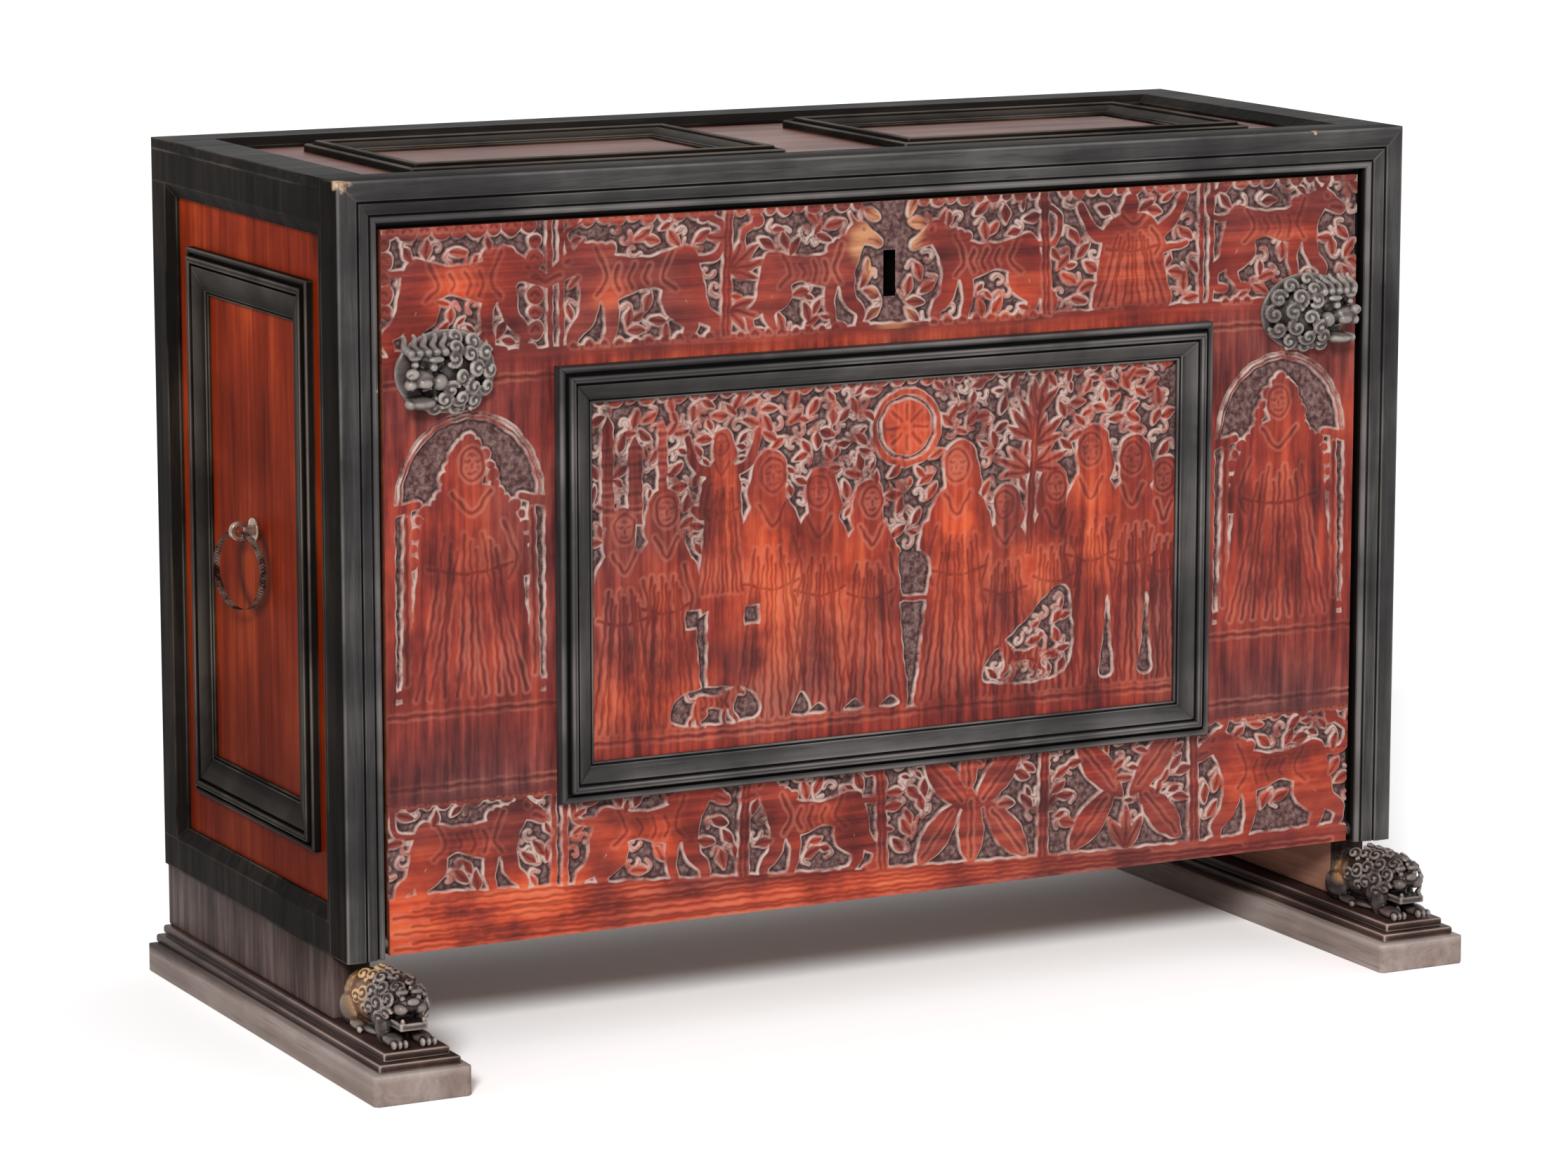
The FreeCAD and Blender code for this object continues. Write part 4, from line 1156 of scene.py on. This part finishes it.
def company(art):
    """Eleven robed figures in a row, and one raised on a pillar with lifted arms."""
    foot, pillar_top = 224, 322
    row = ((-218, 170, 60, 1, 0.2), (-184, 182, 58, 1, 0.3), (-98, 204, 70, 1, 0.3),
           (-58, 188, 64, -1, 0.2), (-16, 176, 60, 1, 0.2), (58, 200, 72, -1, 0.3),
           (98, 164, 56, -1, 0.2), (140, 176, 56, 1, 0.2), (172, 204, 64, -1, 0.2),
           (208, 194, 60, -1, 0.2), (236, 176, 44, -1, 0.0))
    for x, tall, wide, hand, arm in row:
        robed_figure(art, x, foot, tall, wide, hand, arm)
    art.block([(-152, foot), (-124, foot), (-126, pillar_top), (-150, pillar_top)])
    robed_figure(art, -138, pillar_top, 124, 38, -1, 0.2)
    raised_arms(art, 4.5, 3, ([(-148, 414), (-160, 420), (-166, 440)],
                              [(-128, 414), (-116, 420), (-108, 442)]))


def gaps_in_company(art):
    """The ground that shows between the gowns, with two small beasts in it."""
    art.hollow([(16, 240), (22, 240), (30, 300), (33, 338), (8, 342), (12, 300)])
    art.block([(6, 306), (36, 306), (36, 310), (6, 310)])
    for x in (-168, -120):
        art.hollow([(x, 300), (x + 12, 300), (x + 12, 314), (x, 314)], round_off=False)
    art.hollow([(84, 238), (150, 242), (154, 300), (140, 306), (112, 280), (86, 258)])
    for x in (186, 220):
        art.hollow([(x - 6, 236), (x + 6, 236), (x + 4, 262), (x + 1, 296), (x - 3, 262)])
    art.hollow([(-82, 230), (-66, 230), (-72, 246)])
    beast(art, 112, 254, 34, -1, head=0.4, tail=0.4)
    art.hollow([(-176, 230), (-112, 230), (-114, 250), (-146, 256), (-174, 250)])
    beast(art, -144, 242, 36, 1, head=0.3, tail=0.4)
    for x in (-60, -30, 0):
        art.hollow([(x - 8, 229), (x + 8, 229), (x + 2, 236)])
    foliage(art, (84, 240), (156, 304), 10)


def middle_scene(art):
    """A company of robed figures before towers, a raised image, a great disc and a branching tree."""
    half, sill, lintel = 243, 226, 473
    for low, high in ((190, sill), (lintel, 514)):
        art.block([(-280, low), (280, low), (280, high), (-280, high)])
    art.cut([(-half, 222), (-100, 221), (60, 223), (half, 221)], 0.5)
    towers(art)
    branching_tree(art)
    great_disc(art, 14, 436)
    company(art)
    gaps_in_company(art)
    clouds(art, (-half, lintel), (half, lintel), 6, 38)
    foliage(art, (-half, 345), (half, 474), 11, 3)
    warm_spots(art, ((14, 436, 30, 30, 1), (-98, 330, 30, 66, 1), (58, 345, 26, 56, 1),
                     (-184, 300, 16, 46, 0.4), (172, 350, 22, 50, 0.8), (-40, 320, 36, 46, 0.7),
                     (120, 320, 26, 26, 0.8), (-138, 390, 16, 46, 1), (-196, 250, 60, 26, 0.8),
                     (-60, 226, 140, 22, -0.35), (0, 496, 280, 12, 0.65)))


# The fall's boards: planks joined edge to edge, each with its share of the carving cut into its face.
# The sunk ground lies 2.7 mm deep, its edges are rounded over, and thin lines are cut into raised parts.
# The red stain is thin and orange in places, the outlines are painted pale as highlights, the ground has
# painted shadow at the figures' feet, and the inner side is plain.


def raised_colour(tree, place, cloud, tone):
    """Red stained cedar that is orange where the stain is thin and maroon where it has pooled."""
    line, glow, bare = [attribute(tree, title) for title in ("line", "glow", "bare")]
    steps = (0.38, 0.5, 0.62)
    red = ramp(tree, tone, list(zip(steps, ((76, 30, 29), (127, 48, 41), (170, 68, 50)))))
    hot = ramp(tree, tone, list(zip(steps, ((152, 54, 36), (202, 78, 48), (226, 110, 68)))))
    dull = ramp(tree, tone, list(zip(steps, ((66, 36, 38), (100, 54, 52), (128, 76, 70)))))
    warmth = reckon(tree, "MULTIPLY", glow, spread(tree, cloud, 0.36, 0.54, 0.25))
    pooled = spread(tree, noise(tree, place, 7.0, 4.0), 0.47, 0.6, 0.0, 0.55)
    thick = reckon(tree, "MAXIMUM", spread(tree, glow, 0.0, -1.0), pooled)
    colour = blend(tree, warmth, blend(tree, thick, red, dull), hot)
    worn = ramp(tree, tone, [(0.4, (166, 98, 66)), (0.6, (212, 160, 116))])
    colour = blend(tree, bare, colour, worn)
    # Pale streaks beside the cut lines are painted highlights on the folds, and the cut lines are darkened
    # with painted shade.
    beside = reckon(tree, "ABSOLUTE", reckon(tree, "SUBTRACT", line, 2.2))
    patches = spread(tree, cloud, 0.42, 0.62, 0.04, 0.36)
    fold_highlight = reckon(tree, "MULTIPLY", spread(tree, beside, 1.8, 0.2), patches)
    colour = blend(tree, fold_highlight, colour, stain(196, 128, 108))
    return blend(tree, spread(tree, line, 0.9, 0.0, 0.0, 0.46), colour, stain(66, 30, 32))


def ground_colour(tree, place, colour, edge, sunk, speck):
    """The punched grey-brown ground, with painted shadow at the foot of the raised parts and painted
    highlights on the outlines round it.
    """
    ground = ramp(tree, speck, [(0.36, (66, 44, 44)), (0.5, (98, 72, 70)), (0.66, (128, 102, 98))])
    colour = blend(tree, sunk, colour, ground)
    # A dark band on the ground just outside each raised edge: painted shadow.
    foot = reckon(tree, "ABSOLUTE", reckon(tree, "SUBTRACT", edge, 1.6))
    colour = blend(tree, spread(tree, foot, 1.1, 0.2, 0.0, 0.55), colour, stain(38, 25, 26))
    # A pale rim along each raised edge: painted highlight.
    near = reckon(tree, "ABSOLUTE", reckon(tree, "ADD", edge, 0.35))
    broken = spread(tree, noise(tree, place, 60.0, 4.0), 0.38, 0.6, 0.1, 0.95)
    rim = reckon(tree, "MULTIPLY", spread(tree, near, 1.25, 0.35), broken)
    return blend(tree, rim, colour, stain(192, 168, 158))


def carved_cedar_finish():
    """Red stained cedar on the raised parts, a punched grey-brown ground, and pale outlines painted as
    highlights where the edges catch the light.
    The grain runs along the friezes, and upright with the gowns between them."""
    finish, tree = bare_tree("carved_cedar")
    place = wire(tree, "TexCoord").outputs["Object"]
    grain = noise(tree, place, (5, 60, 90), 7.0, 0.65, 0.6)
    folds = noise(tree, place, (150, 60, 12), 4.0, 0.6)
    cloud = noise(tree, place, 16.0, 5.0, 0.6)
    speck = noise(tree, place, 240.0, 3.0, 0.6)
    height = wire(tree, "SeparateXYZ", {0: place}).outputs["Z"]
    robes = reckon(tree, "MULTIPLY", spread(tree, height, 0.188, 0.2), spread(tree, height, 0.512, 0.5))
    upright = reckon(tree, "MULTIPLY", robes, reckon(tree, "SUBTRACT", folds, grain))
    streak = reckon(tree, "ADD", grain, upright)
    tone = reckon(tree, "MULTIPLY_ADD", streak, 0.58, reckon(tree, "MULTIPLY", cloud, 0.42))
    edge = attribute(tree, "edge")
    sunk = spread(tree, edge, -0.1, 0.6)
    colour = raised_colour(tree, place, cloud, tone)
    colour = ground_colour(tree, place, colour, edge, sunk, speck)
    rough = spread(tree, sunk, 0.0, 1.0, 0.46, 0.75)
    pits = reckon(tree, "MULTIPLY", speck, spread(tree, sunk, 0.0, 1.0, 0.25, 1.0))
    rise = reckon(tree, "MULTIPLY_ADD", tone, 0.5, pits)
    bumps = {"Height": rise, "Strength": 0.45, "Distance": 0.0009}
    close_surface(tree, colour, rough, bumps, {"Specular IOR Level": 0.14})
    return finish


carved_cedar = carved_cedar_finish()
inner_shades = ((92, 48, 36), (136, 76, 54), (168, 104, 74))
inner_cedar = wood_finish("inner_cedar", "X", inner_shades, (190, 140, 104), (0.42, 0.6), wear=0.3)
# The keyhole's walls take a near-black wood: painted shadow inside the slot.
keyhole_shadow_shades = ((8, 6, 6), (14, 11, 10), (26, 20, 18))
keyhole_shadow_wood = wood_finish("keyhole_wood", "Y", keyhole_shadow_shades, (40, 30, 26), (0.6, 0.8), wear=0.2, shine=0.02)
fall_face, fall_back = -0.131, -0.107
keyhole_half, keyhole_foot, keyhole_top = 0.0048, 0.534, 0.568
cell = 0.001
fatten = 0.7
carve_depth = 2.7
slope_start, slope_width = -0.5, 1.7
shoulder_depth, shoulder_reach, shoulder_end = 0.45, 1.6, 9
groove_depth, groove_half = 0.55, 0.9


def in_keyhole(face, margin=0.0):
    """Whether a face lies in the keyhole, or within a margin of it."""
    middle = face.calc_center_median()
    beside = abs(middle.x) < keyhole_half + margin
    return beside and keyhole_foot - margin < middle.z < keyhole_top + margin


def flat_face(name, low, high, keyhole):
    """The fine grid of a board's face, between two corners in x and z, with the keyhole cut out."""
    width, tall = high[0] - low[0], high[1] - low[1]
    bm = bmesh.new()
    place = Matrix.Translation(((low[0] + high[0]) / 2, 0, (low[1] + high[1]) / 2))
    place @= Matrix.Rotation(math.pi / 2, 4, "X") @ Matrix.Diagonal((width, tall, 1, 1))
    columns, rows = round(width / cell), round(tall / cell)
    bmesh.ops.create_grid(bm, x_segments=columns, y_segments=rows, size=0.5, matrix=place)
    if keyhole:
        bmesh.ops.delete(bm, geom=[f for f in bm.faces if in_keyhole(f)], context="FACES")
    return mesh_of(name, bm)


def carve(mesh, draw):
    """Cut a drawing into a flat face, and keep its distances and tones at each point.
    The drawing is a little unsteady, as a knife is."""
    spots = np.empty(3 * len(mesh.vertices))
    mesh.vertices.foreach_get("co", spots)
    spots = spots.reshape(-1, 3)
    x, z = 1000 * spots[:, 0], 1000 * spots[:, 2]
    sway = 0.35 * np.sin(z / 2.1 + 1.7 * np.sin(x / 5.3)) + 0.3 * np.sin(z / 4.7 - x / 3.9)
    heave = 0.35 * np.sin(x / 2.3 + 1.9 * np.sin(z / 4.9)) + 0.3 * np.sin(x / 5.1 + z / 4.3)
    art = Carving(x + sway, z + heave)
    draw(art)
    art.figure -= fatten
    sunk = np.clip((art.figure - slope_start) / slope_width, 0, 1)
    sunk = sunk * sunk * (3 - 2 * sunk)
    shoulder = shoulder_depth * np.exp(-np.clip(-art.figure, 0, shoulder_end) / shoulder_reach)
    groove = groove_depth * np.clip(1 - art.line / groove_half, 0, 1)
    spots[:, 1] = fall_face + 0.001 * (carve_depth * sunk + (shoulder + groove) * (1 - sunk))
    mesh.vertices.foreach_set("co", spots.ravel())
    for title, values in (("edge", art.figure), ("line", art.line), ("glow", art.glow), ("bare", art.bare)):
        kept = mesh.attributes.new(title, "FLOAT", "POINT")
        kept.data.foreach_set("value", np.ascontiguousarray(values))


def carved_board(name, low, high, draw, nodes=(), keyhole=False):
    """One board of the fall between two corners, in x and z in millimetres, carved by a drawing."""
    mesh = flat_face(name, [v / 1000 for v in low], [v / 1000 for v in high], keyhole)
    carve(mesh, draw)
    bm = bmesh.new()
    bm.from_mesh(mesh)
    bpy.data.meshes.remove(mesh)
    rim = [e for e in bm.edges if e.is_boundary]
    walls = bmesh.ops.extrude_edge_only(bm, edges=rim)["geom"]
    for v in parts_of(walls, bmesh.types.BMVert):
        v.co.y = fall_back
    behind = [e for e in parts_of(walls, bmesh.types.BMEdge) if e.is_boundary]
    filled = bmesh.ops.triangle_fill(bm, use_beauty=True, edges=behind)["geom"]
    for f in parts_of(walls, bmesh.types.BMFace):
        # Keyhole walls take the near-black painted shadow.
        f.material_index = 2 if in_keyhole(f, cell) else 1
    for f in parts_of(filled, bmesh.types.BMFace):
        f.material_index = 1
    bmesh.ops.recalc_face_normals(bm, faces=bm.faces)
    set_in(name, bm, "fall", [carved_cedar, inner_cedar, keyhole_shadow_wood], nodes, crease=60)


carved_board("fall_frieze", (-fall_half, top_frieze_foot), (fall_half, fall_top), top_frieze,
             ["frieze_boards", "keyhole_block"], True)
carved_board("fall_foot", (-fall_half, fall_foot), (fall_half, foot_frieze_top), bottom_frieze,
             ["fall_panel"])
carved_board("fall_left_niche", (-fall_half, foot_frieze_top), (-scene_half, top_frieze_foot), left_niche)
carved_board("fall_right_niche", (scene_half, foot_frieze_top), (fall_half, top_frieze_foot), right_niche)
carved_board("fall_scene_left", (-scene_half, foot_frieze_top), (0, top_frieze_foot), middle_scene)
carved_board("fall_scene_right", (0, foot_frieze_top), (scene_half, top_frieze_foot), middle_scene)

# The raised moulding round the middle scene: four mitred lengths of ebonised wood glued to the fall's face.
# Beads at its outer edge, a high crown, and a long slope down to the carving.
# The third values paint highlights on the arrises and shade in the quirks.
centre_section = [(0, 0, 0), (0, 7, 0), (1.2, 9.4, 0.6), (3, 10, 0.2), (4.8, 9.2, 0.1), (5, 6, -0.5),
                  (7.2, 6, -0.5), (7.4, 11, 0.1), (8.4, 12.7, 0.6), (10, 13, 0.1), (11.6, 12.6, 0.6),
                  (12.4, 11.2, 0), (12.6, 8.4, -0.5), (14, 8.4, -0.5), (14.2, 10, 0.3), (24.4, 4.8, 0.1),
                  (25.2, 4, 0.6), (25.4, 2.4, -0.4), (26.6, 2.4, -0.4), (26.8, 3.4, 0.4), (28, 3.2, 0.4),
                  (28, 0, 0)]
low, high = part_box("centre_moulding")
corners = [(low.x, fall_face, low.z), (high.x, fall_face, low.z), (high.x, fall_face, high.z),
           (low.x, fall_face, high.z)]
mitred_lengths("scene_moulding", centre_section, corners, forward, "fall", ["centre_moulding"], lit_black)

# Lion masks: small blocks carved in high relief and pegged to the fall's upper corners.
# Each head looks out past the stile with its mouth open, in a mane of deep curls, rubbed grey and painted
# pale as highlights on their crests, with painted shade in the hollows.
mask_shades = ((46, 39, 37), (82, 73, 70), (118, 107, 102))
# Mask crests: dark hollows are painted shade, pale heights are wear and a painted highlight.
mask_wood = wood_finish("mask_wood", "X", mask_shades, (150, 138, 130), (0.22, 0.36), fine=1.6, wear=0.3,
                        relief=0.2, radius=0.002, shine=0.3, crests=((10, 8, 8), (188, 178, 170)))
mask_voxel = 0.0008
# Skull, brow, muzzle, nose, two pads, eyes, eyebrows, cheek, lower jaw, lip and fangs: places and radii.
mask_masses = ((2, -136, 0, 24, 10, 20), (17, -144, 9, 11, 8, 9), (25, -146, -2, 10, 9, 8),
               (33, -152, 2, 5, 4.5, 4), (24, -152, -5, 6, 4.5, 4.5), (33, -149, -6, 5, 5, 4.5),
               (17, -151.5, 6, 3.2, 3, 3), (30, -149, 8, 2.8, 3, 2.8), (15, -152.5, 11.5, 6, 3, 2.4),
               (30, -149.5, 13, 5, 3, 2.2), (11, -148, -5, 6, 6, 6), (24, -145, -20, 11, 8, 4.5),
               (32, -146, -20, 5, 5, 4), (28, -152, -9.5, 1.6, 2, 2.8), (20, -151.5, -10, 1.6, 2, 2.8))
# Each round of curls: how far across and up it reaches, their count and size, and their depth.
mask_rounds = ((6, 11, 3, 6, -149), (19, 18, 6, 6.6, -146), (32, 25, 8, 6.6, -139))
round_start, round_sweep = 98, 190
forelocks, forelock_beads = 5, 8
# The open mouth, the hollows at the eyes and the nostril: places, half sizes and depths.
mask_hollows = ((27, -13.4, 9, 4.4, 13), (23.5, 7, 2.6, 3, 4), (11, 5, 2.4, 3, 3.5), (35, 1, 1.6, 1.4, 3))
hollow_front = -0.136
hollow_rim = 1.3
for side, turn in (("left", -1), ("right", 1)):
    low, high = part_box(side + "_lion_mask")
    middle = 1000 * (low.x + high.x) / 2
    height = 1000 * (low.z + high.z) / 2
    bm = bmesh.new()
    lump(bm, (middle, -132, height), (39, 5, 30), detail=4)
    lumps(bm, mask_masses, middle, turn, height)
    for i in range(forelocks):
        for t in np.linspace(0, 1, forelock_beads):
            across = 7 + 6.5 * i + (1.6 * i - 3) * t + 2 * math.sin(5 * t)
            bead = (middle + turn * across, -149 + 11 * t, height + 16 + 11 * t)
            lump(bm, bead, [3.4 - 1.6 * t] * 3, detail=2)
    for across, up, count, size, out in mask_rounds:
        for i in range(count):
            angle = math.radians(round_start + round_sweep * i / (count - 1))
            place = (middle + turn * (1 + across * math.cos(angle)), out, height + up * math.sin(angle))
            curl(bm, place, (turn * 0.4 * math.cos(angle), -1, 0.4 * math.sin(angle)), size, 80 * i)
    skin = carved_mass(side + "_mask_carving", bm, mask_voxel)
    for v in skin.verts:
        for x, z, wide, tall, depth in mask_hollows:
            across, up = 1000 * v.co.x - middle - turn * x, 1000 * v.co.z - height - z
            away = math.hypot(across / wide, up / tall) / hollow_rim
            if away < 1 and v.co.y < hollow_front:
                v.co.y += 0.001 * depth * (1 - away ** 4)
        v.co.x = held(v.co.x, low.x, high.x)
        v.co.y = held(v.co.y, low.y + 0.0001, fall_face + 0.0004)
        v.co.z = held(v.co.z, low.z, high.z)
    set_in(side + "_mask_carving", skin, "fall", [mask_wood], [side + "_lion_mask"],
           crease=180)

# Iron: the lock on the fall's inner side with its bolt, spring and nails, and the pins that carry the fall.
# Forged and filed plate, blackened, with painted shade in the hollows and bright rubbed corners that are
# also painted highlights.


def iron_finish(name, shades, bright, gloss, metal=0.75):
    """Forged iron: dark scale with warm rust, hammer dimples, and rubbed corners that are also painted
    highlights.
    """
    finish, tree = bare_tree(name)
    place = wire(tree, "TexCoord").outputs["Object"]
    scale = noise(tree, place, 90.0, 6.0, 0.65)
    hammered = wire(tree, "TexVoronoi", {"Vector": place, "Scale": 160.0}, feature="SMOOTH_F1")
    colour = ramp(tree, scale, list(zip((0.34, 0.52, 0.68), shades)))
    rub_and_highlight, quirk_shade, eased = edge_wear(tree, 0.0012, scale)
    # Hollows darkened towards the darkest shade by ambient occlusion: painted shade.
    colour = blend(tree, reckon(tree, "MULTIPLY", quirk_shade, 0.6), colour, stain(*shades[0]))
    # Rubbed corners made bright: wear and a painted highlight.
    colour = blend(tree, rub_and_highlight, colour, stain(*bright))
    rough = spread(tree, scale, 0.3, 0.7, *gloss)
    rise = reckon(tree, "MULTIPLY_ADD", hammered.outputs["Distance"], 0.6, scale)
    bumps = {"Height": rise, "Strength": 0.4, "Distance": 0.0006, "Normal": eased}
    close_surface(tree, colour, rough, bumps, {"Metallic": metal})
    return finish


iron_shades = ((52, 44, 42), (84, 74, 72), (122, 108, 104))
iron = iron_finish("iron", iron_shades, (176, 160, 156), (0.34, 0.6))
paint_nodes(iron, "lock_case", "lock_cover", "lock_nails", "lock_spring", "lock_bolt")
paint_nodes(iron, "pivot_pins", "pivot_sockets")

# Carrying rings: iron drawn round and closed by a weld, hung a little askew through an eye on each side.
# Each eye stands on a small round plate and its shank is clenched through the side board.
ring_shades = ((84, 58, 48), (158, 128, 112), (220, 196, 178))
ring_iron = iron_finish("ring_iron", ring_shades, (236, 220, 206), (0.2, 0.36), metal=0.5)
eye_reach = 0.444
wire_round = 0.003
askew = 14
weld_gap = 0.00001
for side, turn in (("left", -1), ("right", 1)):
    middle = Vector((turn * eye_reach, ring_depth, eye_height)) - Vector((0, 0, ring_round))
    bm = bmesh.new()
    upright = Matrix.Rotation(math.pi / 2, 4, "Y") @ Matrix.Rotation(math.pi / 2, 4, "X")
    start = Matrix.Translation((0, ring_round, 0)) @ upright
    bmesh.ops.create_circle(bm, segments=20, radius=wire_round, matrix=start)
    bmesh.ops.spin(bm, geom=bm.verts[:] + bm.edges[:], cent=(0, 0, 0), axis=(1, 0, 0), dvec=(0, 0, 0),
                   angle=2 * math.pi, steps=72, use_merge=True, use_duplicate=False)
    bmesh.ops.remove_doubles(bm, verts=bm.verts, dist=weld_gap)
    bmesh.ops.recalc_face_normals(bm, faces=bm.faces)
    hung = Matrix.Translation(middle) @ Matrix.Rotation(math.radians(-askew * turn), 4, "Z")
    bmesh.ops.transform(bm, verts=bm.verts, matrix=hung)
    set_in(side + "_carrying_ring", bm, side + "_ring", [ring_iron], [side + "_ring"], crease=60)
paint_nodes(ring_iron, "left_ring_staple", "right_ring_staple")

# The nest behind the fall: a case of thin boards with shelves and partitions, and nine drawers.
# Pale reddish softwood, dovetailed and rubbed with wax; the partitions have their grain upright.
nest_shades = ((98, 58, 40), (142, 90, 62), (174, 120, 84))
nest_look = (nest_shades, (190, 146, 110), (0.45, 0.65))
paint_nodes(wood_finish("nest_wood", "X", *nest_look, wear=0.4), "nest_case", "nest_shelves")
paint_nodes(wood_finish("post_wood", "Z", *nest_look, wear=0.4), "nest_partitions")
drawer_shades = ((112, 52, 34), (158, 82, 52), (190, 112, 72))
drawer_wood = wood_finish("drawer_wood", "X", drawer_shades, (206, 150, 108), (0.4, 0.58), wear=0.5)
paint_nodes(drawer_wood, *[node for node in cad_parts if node.endswith("_drawer")])

# Drawer knobs: turned from darker wood with a thin neck, and glued into the drawers' fronts.
# A wide drawer has two, which are one piece here, and the others have one.
knob_shades = ((34, 27, 25), (54, 43, 40), (80, 64, 58))
knob_wood = wood_finish("knob_wood", "Y", knob_shades, (140, 116, 98), (0.3, 0.46), fine=2.0, wear=0.3)
knob_outline = [(0, 17), (4.4, 16.4), (7.2, 13.6), (8, 10.2), (6.6, 6.6), (4.2, 4.6), (3.4, 3.4),
                (4.6, 2.4), (5.2, 1.2), (5, 0)]
knob_round = 0.008
least_spacing = 0.01
for node in [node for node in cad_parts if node.endswith("_knob")]:
    low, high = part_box(node)
    middle, height = (low.x + high.x) / 2, (low.z + high.z) / 2
    pair = high.x - low.x - 2 * knob_round > least_spacing
    bm = bmesh.new()
    for x in ((low.x + knob_round, high.x - knob_round) if pair else (middle,)):
        run = [bm.verts.new((x + r / 1000, high.y - out / 1000, height)) for r, out in knob_outline]
        edges = [bm.edges.new(ends) for ends in zip(run, run[1:])]
        bmesh.ops.spin(bm, geom=run + edges, cent=(x, 0, height), axis=(0, 1, 0), dvec=(0, 0, 0),
                       angle=2 * math.pi, steps=28, use_merge=True, use_duplicate=False)
    bmesh.ops.remove_doubles(bm, verts=bm.verts, dist=weld_gap)
    bmesh.ops.recalc_face_normals(bm, faces=bm.faces)
    set_in(node + "_turned", bm, node[:-5] + "_drawer", [knob_wood], [node], crease=50)

low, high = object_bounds()
